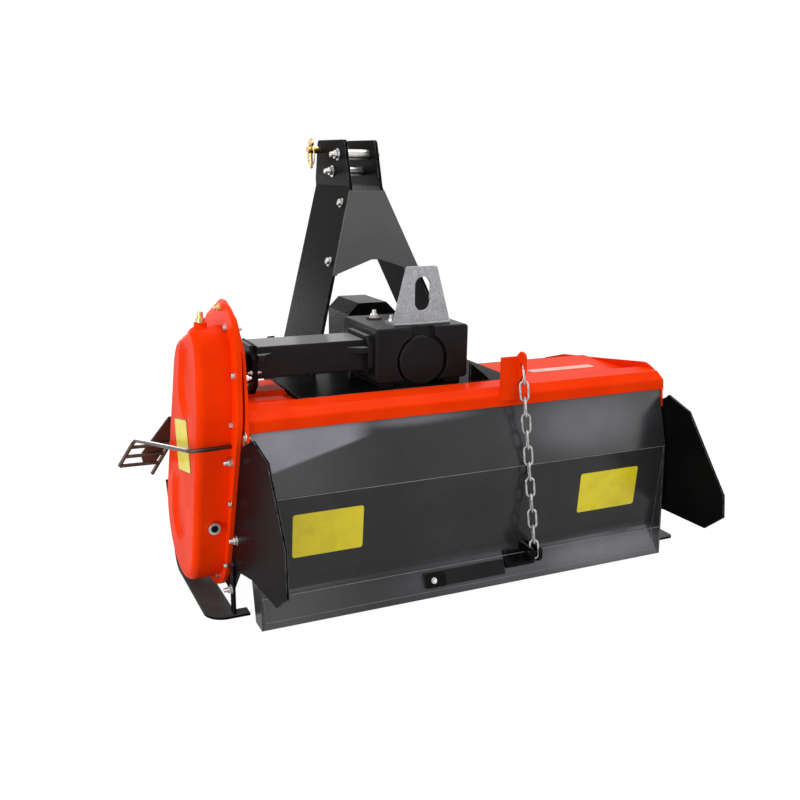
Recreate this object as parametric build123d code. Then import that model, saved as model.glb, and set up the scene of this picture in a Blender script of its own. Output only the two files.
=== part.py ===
from build123d import *
import os
from math import cos, hypot, radians, sin

# Three-point-hitch rotavator. Millimetres, +Z up, +Y towards the tractor, +X to the right seen from
# behind. It is drawn from a datum under the input shaft's centre line, then moved so that the origin
# is the middle of its footprint on the ground.

os.makedirs("parts", exist_ok=True)

# Driving sizes
inner_width = 1043.0  # between the side plates
left_inner = -450.0  # inner face of the left side plate, from the input shaft's centre line
side_plate = 6.0  # side plate thickness
hood_sheet = 4.0  # hood sheet thickness
running_gap = 6.0  # between what moves and what stands still

# Shafts
drive_y = -15.0  # cross shaft, in the gearbox and the axle tube
drive_z = 541.0
rotor_y = 40.0
rotor_z = 178.0
tine_reach = 163.0  # from the rotor's axis to the tips of the tines
rotor_tube_radius = 32.0
journal_radius = 20.0
journal_gap = 0.3

# Hood and side plates
hood_top_z = 462.0
hood_ridge_z = 480.0
hood_lip = (-232.0, 441.0)  # y and z of the hood's rear edge
hood_front_y = 196.0
beam_size = 70.0
beam_wall = 6.0
beam_y = 250.0
beam_top_z = 420.0
flap_thickness = 5.0

# Chain case
case_back = 10.0
case_depth = 69.0
case_flange = 20.0  # how far the back plate stands out round the lower end
case_flange_top = 45.0  # and round the upper end
case_round = 16.0  # the cover's outer edge
# y, z and radius of the three circles that the cover's outline is wrapped round
case_circles = ((-135.0, 590.0, 56.0), (-72.0, 500.0, 118.0), (rotor_y, rotor_z, 140.0))

# Gearbox and axle tube
gearbox_half_width = 117.0
gearbox_rear_y = -100.0
gearbox_front_y = 95.0
gearbox_bottom_z = 484.0
gearbox_top_z = 609.0
gearbox_cap_radius = 57.0
tube_depth = 100.0
tube_height = 71.0
tube_middle_z = 546.5
tube_wall = 6.0
tube_flange = 12.0
input_radius = 17.45  # over the splines
input_root_radius = 14.7
input_free_length = 76.0
spline_count = 6
spline_width = 8.6
input_collar_radius = 24.0
input_boss_radius = 46.0
input_boss_length = 22.0

# Saddle, mast and hitch
saddle_left = -300.0
saddle_right = 240.0
saddle_rear_y = -112.0
saddle_front_y = 300.0
saddle_thickness = 10.0
mast_plate = 8.0
mast_gap = 74.0  # between the mast plates at the top
mast_top_z = 1022.0
mast_kink_z = mast_top_z - 117.0
mast_slope = 0.36  # how far each leg leans out for each millimetre down
top_pin_radius = 9.5
top_pin_y = 448.0
top_pin_z = mast_top_z - 25.0
hitch_plate = 12.0
hitch_inner = 225.0  # inner face of each lower hitch plate, from the centre line
hitch_pin_radius = 11.0
hitch_pin_length = 62.0
hitch_shank_radius = 9.5  # the pin's shank through its plate
hitch_relief = 2.0  # the groove behind the pin's land, wide and deep
hitch_pin_y = 350.0
hitch_pin_z = 470.0
linch_radius = 4.0

# Rear board
board_sheet = 4.0
hinge_y = -212.0
hinge_z = 434.0
hinge_rod_radius = 5.0
hinge_rod_gap = 0.3
knuckle_radius = 9.0
board_fold_high = (-262.0, 305.0)  # y and z of the folds in the board's outer face
board_fold_low = (-243.0, 97.0)
board_foot = (-273.0, 27.0)

# Rotor
tine_rings = 6
tine_ring_disc = 78.0
tine_thickness = 7.0
tine_foot_length = 52.0
ring_twist = 15.0  # degrees from one ring to the next

# Skids
skid_width = 63.0
skid_rear_y = -141.0
right_skid_width = 129.0
right_skid_rear_y = -158.0
skid_thickness = 6.0
skid_bend_y = 180.0  # where the sole's line meets that of the toe
skid_toe = (268.0, 196.0)  # y and z of the toe's end
skid_turn = 60.0
skid_tab = 30.0

right_inner = left_inner + inner_width
left_outer = left_inner - side_plate
right_outer = right_inner + side_plate
left_flap_outer = left_outer - flap_thickness
right_flap_outer = right_outer + flap_thickness
case_plate_outer = left_flap_outer - case_back
case_outer = case_plate_outer - case_depth
saddle_top_z = hood_top_z + saddle_thickness
mast_inner = mast_gap / 2
beam_rear_y = beam_y - beam_size / 2
beam_front_y = beam_y + beam_size / 2

nodes = {}


def flat_yz(outline, x, thickness):
    """A plate that stands along the machine: its outline in y and z, from x outwards."""
    return extrude(Plane.YZ.offset(x) * Polygon(*outline, align=None), thickness, dir=(1, 0, 0))


def flat_xz(outline, y, thickness):
    """A plate that stands across the machine: its outline in x and z, from y forwards."""
    return extrude(Plane.XZ.offset(-y) * Polygon(*outline, align=None), thickness, dir=(0, 1, 0))


def flat_xy(outline, z, thickness):
    return extrude(Plane.XY.offset(z) * Polygon(*outline, align=None), thickness, dir=(0, 0, 1))


def block(x, y, z):
    """A box from its low and high x, y and z."""
    middle = [(low + high) / 2 for low, high in (x, y, z)]
    return Pos(*middle) * Box(x[1] - x[0], y[1] - y[0], z[1] - z[0])


def rod(start, end, radius):
    """A round bar from one point to another."""
    path = Vector(*end) - Vector(*start)
    place = Plane(origin=start, z_dir=path)
    return place * Cylinder(radius, path.length, align=(Align.CENTER, Align.CENTER, Align.MIN))


def along_x(x0, x1, y, z, radius):
    return rod((x0, y, z), (x1, y, z), radius)


def along_y(y0, y1, x, z, radius):
    return rod((x, y0, z), (x, y1, z), radius)


def folded(points, thickness, bend, side):
    """The section of a sheet folded along points, with round bends, its wall on the given side."""
    path = Wire(FilletPolyline(*points, radius=bend).edges())
    return make_face(path.offset_2d(thickness, side=side).edges())


def folded_yz(points, thickness, bend, side, x0, x1):
    return extrude(Plane.YZ.offset(x0) * folded(points, thickness, bend, side), x1 - x0, dir=(1, 0, 0))


def mirrored(piece):
    return mirror(piece, about=Plane.YZ)


# Hood: a folded sheet from the rear lip over the top and down to the front beam
hood_profile = (
    hood_lip,
    (-229.0, 464.0),
    (-204.0, hood_ridge_z),
    (-142.0, hood_ridge_z),
    (-124.0, hood_top_z),
    (104.0, hood_top_z),
    (hood_front_y, 404.0),
    (hood_front_y + 8.0, 330.0),
)
hood = folded_yz(hood_profile, hood_sheet, 8.0, Side.RIGHT, left_inner, right_inner)
# Stiffening pads on the hood's top, at its left end. Columns: length, low and high y, height
hood_pads = ((148.0, -34.0, 82.0, 13.0), (130.0, -102.0, -58.0, 9.0))
pad_slope = 7.0
for length, y0, y1, height in hood_pads:
    base = Pos(left_inner + length / 2, (y0 + y1) / 2, hood_top_z) * Rectangle(length, y1 - y0)
    crown = Pos(left_inner + (length - pad_slope) / 2, (y0 + y1) / 2, hood_top_z + height)
    hood += loft([base, crown * Rectangle(length - pad_slope, y1 - y0 - 2 * pad_slope)], ruled=True)
nodes["hood"] = hood

# Side plates. Columns: y, z
left_plate_outline = (
    (-50.0, 684.0), (-60.0, 689.0), (-94.0, 689.0), (-168.0, 662.0), (-222.0, 602.0), (-236.0, 512.0),
    (-241.0, 424.0), (-184.0, 398.0),
    (-120.0, 130.0), (-60.0, 52.0), (120.0, 52.0), (178.0, 120.0), (beam_front_y, beam_top_z - beam_size),
    (beam_front_y, beam_top_z), (160.0, 470.0), (60.0, 640.0),
)
right_plate_outline = (
    (197.0, 446.0), (26.0, 468.0), (-156.0, 493.0), (-194.0, 478.0), (-222.0, 440.0), (-228.0, 396.0),
    (-184.0, 380.0), (-120.0, 130.0), (-60.0, 52.0), (120.0, 52.0), (178.0, 120.0),
    (beam_front_y, beam_top_z - beam_size), (beam_front_y, beam_top_z),
)
journal_hole = journal_radius + journal_gap


def side_plate_solid(outline, x):
    plate = flat_yz(outline, x, side_plate)
    plate -= along_x(x - 1, x + side_plate + 1, rotor_y, rotor_z, journal_hole)
    return plate - along_x(x - 1, x + side_plate + 1, hinge_y, hinge_z, hinge_rod_radius)


nodes["left_side_plate"] = side_plate_solid(left_plate_outline, left_outer)
right_plate = side_plate_solid(right_plate_outline, right_inner)
right_plate_round = 50.0  # of its upper rear corner
upper_rear = [
    edge for edge in right_plate.edges().filter_by(Axis.X).filter_by(GeomType.LINE)
    if edge.center().Y < -150 and edge.center().Z > 438
]
nodes["right_side_plate"] = fillet(upper_rear, right_plate_round)

# Side flaps: they cover the sides below the plates and reach back past the board. Columns: y, z
flap_front = (
    (-168.0, 118.0), (-104.0, 44.0), (150.0, 44.0), (205.0, 120.0), (225.0, 392.0), (-184.0, 392.0),
    (-236.0, 420.0),
)
left_flap_rear = (
    (-296.0, 446.0), (-388.0, 429.0), (-487.0, 292.0), (-492.0, 198.0), (-430.0, 154.0), (-262.0, 141.0),
)
right_flap_rear = (
    (-246.0, 428.0), (-322.0, 404.0), (-456.0, 238.0), (-462.0, 186.0), (-406.0, 140.0), (-262.0, 137.0),
)


def flap_solid(rear_outline, x):
    flap = flat_yz((*rear_outline, *flap_front), x, flap_thickness)
    return flap - along_x(x - 1, x + flap_thickness + 1, rotor_y, rotor_z, journal_hole)


nodes["left_side_flap"] = flap_solid(left_flap_rear, left_flap_outer)
nodes["right_side_flap"] = flap_solid(right_flap_rear, right_outer)


# Chain case: a back plate and a deep cover, both wrapped round the same three circles
def case_section(*grow):
    rings = Sketch() + [Pos(y, z) * Circle(radius + more) for (y, z, radius), more in zip(case_circles, grow)]
    return make_hull(rings.edges())


plate_section = case_section(case_flange_top, case_flange_top, case_flange)
case_plate = extrude(Plane.YZ.offset(case_plate_outer) * plate_section, case_back, dir=(1, 0, 0))
nodes["chain_case_back"] = case_plate - along_x(
    case_plate_outer - 1, left_flap_outer + 1, rotor_y, rotor_z, journal_hole
)
cover = extrude(Plane.YZ.offset(case_outer) * case_section(0, 0, 0), case_depth, dir=(1, 0, 0))
cover = fillet(cover.faces().sort_by(Axis.X)[0].edges(), case_round)
# Two pressed oval dishes in the cover's face. Columns: y, z, length, width, lean from upright
case_dishes = ((-78.0, 522.0, 178.0, 116.0, 20.0), (44.0, 206.0, 178.0, 128.0, 14.0))
dish_depth = 8.0
dish_slope = 20.0  # how much narrower a dish is at its floor, all round
for y, z, length, width, lean in case_dishes:
    end_shift = (length - width) / 2
    narrow = width / 2 - dish_slope
    end = Cone(width / 2, narrow, dish_depth, align=(Align.CENTER, Align.CENTER, Align.MIN))
    mouth = Rectangle(2 * end_shift, width)
    floor = Pos(0, 0, dish_depth) * Rectangle(2 * end_shift, 2 * narrow)
    dish = loft([mouth, floor], ruled=True) + Pos(end_shift, 0, 0) * end + Pos(-end_shift, 0, 0) * end
    cover -= Plane.YZ.offset(case_outer) * Pos(y, z, 0) * Rot(0, 0, 90 + lean) * dish
nodes["chain_case_cover"] = cover

# Breather on the case's top, and the oil level plug on its rear wall
case_top_y, case_top_middle, case_top_radius = case_circles[0]
breather_in = 45.0  # how far left of the back plate it stands
breather_sunk = 12.0  # how deep its boss starts in the cover
breather_foot = Vector(
    case_plate_outer - breather_in, case_top_y, case_top_middle + case_top_radius - breather_sunk
)
breather_boss = (13.0, 21.0)  # radius and height
breather_steps = ((9.0, 9.0), (6.0, 12.0))  # radius and height of each
standing = (Align.CENTER, Align.CENTER, Align.MIN)
nodes["chain_case_cover"] += Pos(breather_foot) * Cylinder(*breather_boss, align=standing)
breather = Part()
breather_z = breather_foot.Z + breather_boss[1]
for radius, height in breather_steps:
    foot = (breather_foot.X, breather_foot.Y, breather_z)
    breather_z += height
    breather += rod(foot, (breather_foot.X, breather_foot.Y, breather_z), radius)
nodes["breather"] = breather

plug_x, plug_z = case_plate_outer - 29.0, 208.0
plug_radius = 11.0
plug_reach = (-126.0, -90.0)  # low and high y, its inner end lost in the cover
plug = along_y(*plug_reach, plug_x, plug_z, plug_radius) - nodes["chain_case_cover"]
nodes["level_plug"] = plug.solids().sort_by(Axis.Y)[0]

# Axle tube: from its flange to the gearbox. A round neck joins the flange to the left side plate
flange_x = -394.0
neck_radius = 34.0
tube_outline_y = (drive_y - tube_depth / 2, drive_y + tube_depth / 2)
tube_outline_z = (tube_middle_z - tube_height / 2, tube_middle_z + tube_height / 2)
tube_x0 = flange_x + tube_flange
tube = block((tube_x0, -gearbox_half_width), tube_outline_y, tube_outline_z)
tube = fillet(tube.edges().filter_by(Axis.X), 4.0)
tube -= block(
    (tube_x0, -gearbox_half_width),
    (tube_outline_y[0] + tube_wall, tube_outline_y[1] - tube_wall),
    (tube_outline_z[0] + tube_wall, tube_outline_z[1] - tube_wall),
)
collar_sheet = 12.0
collar_out = 23.0  # how far the collar stands out round the tube, before and behind
collar_up = 9.0  # and above and below
collar_x = -gearbox_half_width - collar_sheet
collar = block(
    (collar_x, -gearbox_half_width),
    (tube_outline_y[0] - collar_out, tube_outline_y[1] + collar_out),
    (tube_outline_z[0] - collar_up, tube_outline_z[1] + collar_up),
)
collar = chamfer(collar.edges().filter_by(Axis.X), 20.0)
tube += collar - block((collar_x, -gearbox_half_width), tube_outline_y, tube_outline_z)
# Ribs that stand out of the tube's sides, at the collar and at the flange. Columns: x, length, run
rib_out = 20.0
rib_z = (556.0, 567.0)
for foot_x, rib_length in ((collar_x, -44.0), (tube_x0, 36.0)):
    for face_y, way in ((tube_outline_y[0], -1), (tube_outline_y[1], 1)):
        rib = (
            (foot_x, face_y), (foot_x, face_y + way * rib_out),
            (foot_x + rib_length / 3, face_y + way * rib_out), (foot_x + rib_length, face_y),
        )
        tube += flat_xy(rib, rib_z[0], rib_z[1] - rib_z[0])
nodes["axle_tube"] = tube
# The flange's outline: low and high y and z, and its cut corners
flange_y = (-77.0, 47.0)
flange_z = (476.0, 583.0)
flange_cut = 26.0
flange = block((flange_x, flange_x + tube_flange), flange_y, flange_z)
flange = chamfer(flange.edges().filter_by(Axis.X), flange_cut)
nodes["axle_tube_flange"] = flange + along_x(left_inner, flange_x, drive_y, sum(flange_z) / 2, neck_radius)

# Gearbox: a cast block on two feet, with a round cap in a recess at the rear and a boss in front
gearbox = block(
    (-gearbox_half_width, gearbox_half_width),
    (gearbox_rear_y, gearbox_front_y),
    (gearbox_bottom_z, gearbox_top_z),
)
gearbox = fillet(gearbox.edges().filter_by(Axis.Y), 9.0)
gearbox = chamfer(gearbox.faces().sort_by(Axis.Y)[0].edges(), 3.0)
cap_z = drive_z - 11.0
cap_recess = 14.0
recess = along_y(gearbox_rear_y - 1, gearbox_rear_y + cap_recess, 0, cap_z, gearbox_cap_radius + 7)
recess += block(
    (-30.0, 30.0), (gearbox_rear_y - 1, gearbox_rear_y + cap_recess), (cap_z, gearbox_top_z + 1)
)
gearbox -= recess
gearbox_foot_x = (-85.0, 85.0)
gearbox_foot_half = 18.0
gearbox_foot_y = (gearbox_rear_y + 12.0, gearbox_front_y - 8.0)
for foot_x in gearbox_foot_x:
    gearbox += block(
        (foot_x - gearbox_foot_half, foot_x + gearbox_foot_half),
        gearbox_foot_y,
        (saddle_top_z, gearbox_bottom_z),
    )
boss_end_y = gearbox_front_y + input_boss_length
gearbox += along_y(gearbox_front_y, boss_end_y, 0, drive_z, input_boss_radius)
gearbox -= along_y(gearbox_front_y - 30, boss_end_y + 1, 0, drive_z, input_collar_radius + journal_gap)
nodes["gearbox_housing"] = gearbox
cap = along_y(gearbox_rear_y + 2, gearbox_rear_y + cap_recess, 0, cap_z, gearbox_cap_radius)
nodes["gearbox_rear_cap"] = chamfer(cap.faces().sort_by(Axis.Y)[0].edges(), 3.0)

# Input shaft: a collar in the gearbox's boss, then six splines
collar_start_y = gearbox_front_y - 28.0
collar_end_y = boss_end_y + 6.0
input_end_y = collar_end_y + input_free_length
shaft = along_y(collar_start_y, collar_end_y, 0, drive_z, input_collar_radius)
shaft += along_y(collar_end_y, input_end_y, 0, drive_z, input_root_radius)
for turn in range(spline_count):
    tooth = block(
        (-spline_width / 2, spline_width / 2),
        (collar_end_y, input_end_y),
        (input_root_radius - 2, input_radius + 2),
    )
    tooth &= along_y(collar_end_y, input_end_y, 0, 0, input_radius)
    shaft += Pos(0, 0, drive_z) * Rot(Y=turn * 360 / spline_count) * tooth
nodes["input_shaft"] = shaft

# Saddle: the thick plate on the hood that carries the gearbox and the mast, on two risers to the beam
saddle = block(
    (saddle_left, saddle_right), (saddle_rear_y, saddle_front_y), (hood_top_z, saddle_top_z)
)
riser_x = mast_inner + mast_slope * (mast_kink_z - saddle_top_z)
for side in (-1, 1):
    saddle += block(
        sorted((side * riser_x, side * (riser_x + 14.0))),
        (beam_rear_y, beam_front_y),
        (beam_top_z, hood_top_z),
    )
# A gusset on its rear edge, to the right of the gearbox
gusset_x = (gearbox_half_width + 2, gearbox_half_width + 55)
gusset_rise = (47.0, 7.0)  # its height at the gearbox and at its right end
gusset_sheet = 8.0
gusset = (
    (gusset_x[0], saddle_top_z), (gusset_x[1], saddle_top_z),
    (gusset_x[1] - 4, saddle_top_z + gusset_rise[1]),
    (gusset_x[0], saddle_top_z + gusset_rise[0]),
)
saddle += flat_xz(gusset, saddle_rear_y, gusset_sheet)
nodes["saddle"] = saddle

# Front beam between the side plates
beam = block(
    (left_inner, right_inner), (beam_rear_y, beam_front_y), (beam_top_z - beam_size, beam_top_z)
)
beam = fillet(beam.edges().filter_by(Axis.X), 6.0)
beam -= block(
    (left_inner, right_inner),
    (beam_rear_y + beam_wall, beam_front_y - beam_wall),
    (beam_top_z - beam_size + beam_wall, beam_top_z - beam_wall),
)
nodes["front_beam"] = beam


# Mast: two bent legs. The upper part of a leg stands upright, and below the kink it leans out
def leg_sheet(inner, thickness, z_low, z_high, y0, y1):
    """A bent sheet on the left side whose inner face passes through the leg's inner face, set in by inner."""
    x_low = mast_inner + mast_slope * (mast_kink_z - z_low)
    points = ((-mast_inner + inner, z_high), (-mast_inner + inner, mast_kink_z), (-x_low + inner, z_low))
    section = folded(points, thickness, 30.0, Side.RIGHT)
    return extrude(Plane.XZ.offset(-y0) * section, y1 - y0, dir=(0, 1, 0))


leg_front = (
    (462.0, mast_top_z), (480.0, mast_kink_z + 14.0), (345.0, saddle_top_z + 33.0),
    (saddle_front_y, saddle_top_z),
)
leg_corner = 14.0  # the round of its top corners
leg_rear_low = (84.0, saddle_top_z)
leg_rear_kink = (235.0, mast_kink_z)
leg_outline = (*leg_front, leg_rear_low, leg_rear_kink, (272.0, mast_top_z))
leg = leg_sheet(0.0, mast_plate, saddle_top_z - 40, mast_top_z + 40, 0, 520)
leg &= fillet(flat_yz(leg_outline, -400, 400).edges().filter_by(Axis.X).group_by(Axis.Z)[-1], leg_corner)
leg = leg - along_x(-200, 0, top_pin_y, top_pin_z, top_pin_radius + 0.3)
left_leg = leg
nodes["mast_left_leg"] = left_leg
nodes["mast_right_leg"] = mirrored(left_leg)

# Spacers between the legs. Columns: y, z, radius
spacers = ((312.0, mast_top_z - 36.0, 13.0), (352.0, mast_top_z - 78.0, 11.0))
nodes["mast_spacers"] = Compound([along_x(-mast_inner, mast_inner, y, z, radius) for y, z, radius in spacers])

# Top link pin, with its linch pin through the left end
pin_left = -mast_inner - mast_plate - 34.0
pin_right = mast_inner + mast_plate + 10.0
top_pin = along_x(pin_left, pin_right, top_pin_y, top_pin_z, top_pin_radius)
top_pin_head = (7.0, 5.0)  # length, and how much wider than the pin
top_pin += along_x(
    pin_right - 1, pin_right + top_pin_head[0], top_pin_y, top_pin_z, top_pin_radius + top_pin_head[1]
)
linch_x = pin_left + 10.0
linch_reach = (34.0, 30.0)  # below and above the pin's axis
top_pin += rod(
    (linch_x, top_pin_y, top_pin_z - linch_reach[0]),
    (linch_x, top_pin_y, top_pin_z + linch_reach[1]),
    linch_radius,
)
nodes["top_link_pin"] = top_pin

# Mast cover: a folded sheet bolted inside the legs, its web behind their rear edges
cover_sheet = 4.0
cover_top_z = mast_kink_z - 6.0
cover_low_z = mast_kink_z - 207.0
cover_arch_z = mast_kink_z - 171.0
rear_slope = (leg_rear_kink[0] - leg_rear_low[0]) / (leg_rear_kink[1] - leg_rear_low[1])


def leg_rear_y(z):
    return leg_rear_kink[0] - rear_slope * (mast_kink_z - z)


def leg_outer_x(z):
    return mast_inner + mast_slope * (mast_kink_z - z) + mast_plate


web_section = [
    (leg_rear_y(z) - out, z)
    for z, out in ((500.0, 0.0), (mast_kink_z, 0.0), (mast_kink_z, cover_sheet), (500.0, cover_sheet))
]
web_face = (
    (-leg_outer_x(cover_top_z), cover_top_z), (-leg_outer_x(cover_low_z), cover_low_z),
    (-12.0, cover_arch_z), (12.0, cover_arch_z),
    (leg_outer_x(cover_low_z), cover_low_z), (leg_outer_x(cover_top_z), cover_top_z),
)
web = flat_yz(web_section, -300, 600) & flat_xz(web_face, 0, 400)
ear_depth = 66.0
ear_top_z = cover_top_z - 6
ear_outline = (
    (leg_rear_y(cover_low_z), cover_low_z), (leg_rear_y(ear_top_z), ear_top_z),
    (leg_rear_y(ear_top_z) + ear_depth, ear_top_z), (leg_rear_y(cover_low_z) + ear_depth, cover_low_z),
)
ear = leg_sheet(cover_sheet * hypot(1, mast_slope), cover_sheet, cover_low_z - 60, cover_top_z + 60, 0, 400)
ear &= flat_yz(ear_outline, -300, 300)
nodes["mast_cover"] = web + ear + mirrored(ear)

# Lower hitch: a plate on each end of the mast's foot, welded to the beam, with a pin that points out
hitch_rear_y = saddle_front_y + 0.5  # clear of the saddle's front edge
hitch_outline = (
    (beam_front_y, beam_top_z - beam_size), (beam_front_y, beam_top_z), (hitch_rear_y, beam_top_z + 20),
    (hitch_rear_y, 534.0), (322.0, 530.0), (382.0, 488.0), (382.0, 446.0), (340.0, 352.0),
)
hitch = flat_yz(hitch_outline, hitch_inner, hitch_plate)
hitch = fillet(hitch.edges().filter_by(Axis.X).group_by(Axis.Y)[-1], 12.0)
hitch -= along_x(hitch_inner - 1, hitch_inner + hitch_plate + 1, hitch_pin_y, hitch_pin_z, hitch_shank_radius)
nodes["right_hitch_plate"] = hitch
nodes["left_hitch_plate"] = mirrored(hitch)
hitch_outer = hitch_inner + hitch_plate
hitch_collar = 5.0
land_x = hitch_outer + hitch_collar + hitch_relief
pin_end_x = hitch_outer + hitch_pin_length
hitch_shank_out = 20.0  # how far the shank stands out inside the plate, through its nut
hitch_nut = (hitch_shank_radius + 6, 16.0)  # radius over its corners and depth
hitch_pin = along_x(hitch_inner - hitch_shank_out, hitch_outer, hitch_pin_y, hitch_pin_z, hitch_shank_radius)
nut_place = Plane.YZ.offset(hitch_inner - hitch_nut[1])
nut = extrude(nut_place * RegularPolygon(hitch_nut[0], 6), hitch_nut[1], dir=(1, 0, 0))
hitch_pin += Pos(0, hitch_pin_y, hitch_pin_z) * nut
hitch_pin += along_x(hitch_outer, hitch_outer + hitch_collar, hitch_pin_y, hitch_pin_z, hitch_pin_radius + 6)
hitch_pin += along_x(hitch_outer, land_x, hitch_pin_y, hitch_pin_z, hitch_pin_radius - 1)
hitch_pin += along_x(land_x, pin_end_x, hitch_pin_y, hitch_pin_z, hitch_pin_radius)
hitch_pin = chamfer(hitch_pin.faces().sort_by(Axis.X)[-1].edges(), 2.5)
linch_hole_x = pin_end_x - 10.0
linch_hole_radius = 4.5
hitch_pin -= rod(
    (linch_hole_x, hitch_pin_y, hitch_pin_z - 20),
    (linch_hole_x, hitch_pin_y, hitch_pin_z + 20),
    linch_hole_radius,
)
nodes["right_hitch_pin"] = hitch_pin
nodes["left_hitch_pin"] = mirrored(hitch_pin)

# Drive guard: a folded hood over the input shaft, open below and in front
guard_sheet = 3.0
guard_y0, guard_y1 = 190.0, 330.0
guard_half = 66.0
guard_flat = 38.0
guard_shoulder_z = 596.0
guard_top_z = 624.0
guard_wall_z = 588.0
guard_points = (
    (-guard_half, saddle_top_z), (-guard_half, guard_shoulder_z), (-guard_flat, guard_top_z),
    (guard_flat, guard_top_z), (guard_half, guard_shoulder_z), (guard_half, saddle_top_z),
)
guard_section = folded(guard_points, guard_sheet, 5.0, Side.RIGHT)
guard = extrude(Plane.XZ.offset(-guard_y0) * guard_section, guard_y1 - guard_y0, dir=(0, 1, 0))
# Its rear end is closed above the shaft
guard_wall = (
    (-guard_half + 1, guard_wall_z), (-guard_half + 1, guard_shoulder_z), (-guard_flat, guard_top_z - 1),
    (guard_flat, guard_top_z - 1), (guard_half - 1, guard_shoulder_z), (guard_half - 1, guard_wall_z),
)
nodes["drive_guard"] = guard + flat_xz(guard_wall, guard_y0, guard_sheet)

# Lifting lug: a bent plate with a slot, bolted on the gearbox
lug_plate = 8.0
lug_rear_y = gearbox_rear_y + 20.0
lug_foot = (-66.0, 78.0)  # low and high x
lug_top_z = 743.0
lug_slot = (7.0, 681.0)  # x and z of the slot's middle
lug_outline = (
    (lug_foot[0], gearbox_top_z), (lug_foot[1], gearbox_top_z), (lug_foot[1] - 4, gearbox_top_z + 20),
    (42.0, lug_top_z), (-33.0, lug_top_z), (lug_foot[0] + 4, gearbox_top_z + 20),
)
lug = flat_xz(lug_outline, lug_rear_y, lug_plate)
lug = fillet(lug.edges().filter_by(Axis.Y).group_by(Axis.Z)[-1], 6.0)
lug_slot_size = (78.0, 40.0)  # height and width
slot = Plane.XZ.offset(-(lug_rear_y - 1)) * Pos(*lug_slot) * Rot(0, 0, 90) * SlotOverall(*lug_slot_size)
lug -= extrude(slot, lug_plate + 2, dir=(0, 1, 0))
lug_foot_depth = 46.0
lug += block(lug_foot, (lug_rear_y, lug_rear_y + lug_foot_depth), (gearbox_top_z, gearbox_top_z + lug_plate))
nodes["lifting_lug"] = lug

# Chain bracket on the hood: a back plate, and a finger with a hole for the chain's top link
finger_plate = 7.0
finger_x = 173.0
finger_outline = (
    (-190.0, hood_ridge_z), (-204.0, hood_ridge_z), (-229.0, 464.0), (-232.0, 455.0), (-239.0, 455.0),
    (-239.0, 494.0), (-262.0, 520.0), (-262.0, 556.0), (-256.0, 564.0), (-244.0, 566.0), (-232.0, 556.0),
    (-190.0, 506.0),
)
chain_top = (-250.0, 535.0)  # y and z of the hole's centre
eye_radius = 5.6
finger = flat_yz(finger_outline, finger_x - finger_plate / 2, finger_plate)
finger -= along_x(finger_x - finger_plate, finger_x + finger_plate, *chain_top, eye_radius)
back_width = 46.0
back_y = (-239.0, hood_lip[0])
back_z = (455.0, 554.0)
back = block((finger_x - back_width, finger_x - finger_plate / 2), back_y, back_z)
nodes["chain_bracket"] = (finger + back) - nodes["hood"]

# Rear board: a folded sheet with closed ends, hung by knuckles on a rod under the hood's lip
board_x0 = left_inner + running_gap
board_x1 = right_inner - running_gap
board_top = (hinge_y - knuckle_radius - 3.0, hinge_z + 5.0)
board_points = (board_top, board_fold_high, board_fold_low, board_foot)
board = folded_yz(board_points, board_sheet, 10.0, Side.LEFT, board_x0, board_x1)
end_depth = 44.0  # how far the board's closed ends reach forwards
end_outline = (
    board_fold_high, (board_fold_low[0] + end_depth, board_fold_low[1] + 40),
    (board_foot[0] + end_depth, board_foot[1]), board_foot,
)
for x in (board_x0, board_x1 - board_sheet):
    board += flat_yz(end_outline, x, board_sheet)
nodes["rear_board"] = board
knuckle_width = 40.0
knuckle_inset = 60.0  # from each side plate to the outer knuckles
knuckle_places = (
    left_inner + knuckle_inset, left_inner + inner_width / 2 - knuckle_width / 2,
    right_inner - knuckle_inset - knuckle_width,
)
knuckles = []
for x in knuckle_places:
    knuckle = along_x(x, x + knuckle_width, hinge_y, hinge_z, knuckle_radius)
    knuckle += block(
        (x, x + knuckle_width),
        (board_top[0] + board_sheet, hinge_y),
        (hinge_z - knuckle_radius, hinge_z + 3),
    )
    knuckle -= along_x(x, x + knuckle_width, hinge_y, hinge_z, hinge_rod_radius + hinge_rod_gap)
    knuckles.append(knuckle - board)
nodes["board_knuckles"] = Compound(knuckles)
nodes["hinge_rod"] = along_x(left_outer, right_outer, hinge_y, hinge_z, hinge_rod_radius)

# A rubbing strip across the board's lower panel, and the plate that the chain's last link hangs on
foot_run = Vector(0, board_foot[0] - board_fold_low[0], board_foot[1] - board_fold_low[1]).normalized()
foot_out = Vector(0, foot_run.Z, -foot_run.Y)  # square to the lower panel, away from the rotor


def on_foot(down, out):
    """y and z of a point so far down the lower panel from its fold, and so far out of it."""
    point = Vector(0, *board_fold_low) + foot_run * down + foot_out * out
    return (point.Y, point.Z)


def on_foot_plate(down, width, out, x, length):
    """A plate on the lower panel: from so far down it, so wide, so thick, from x rightwards."""
    corners = ((down, 0.0), (down + width, 0.0), (down + width, out), (down, out))
    return flat_yz([on_foot(*corner) for corner in corners], x, length)


strap_length = 203.0
strap_height = 34.0
strap_thickness = 8.0
strap_left = -64.0
strap_down = 20.0  # from the lower fold to its upper edge
nodes["board_strap"] = on_foot_plate(strap_down, strap_height, strap_thickness, strap_left, strap_length)

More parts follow.
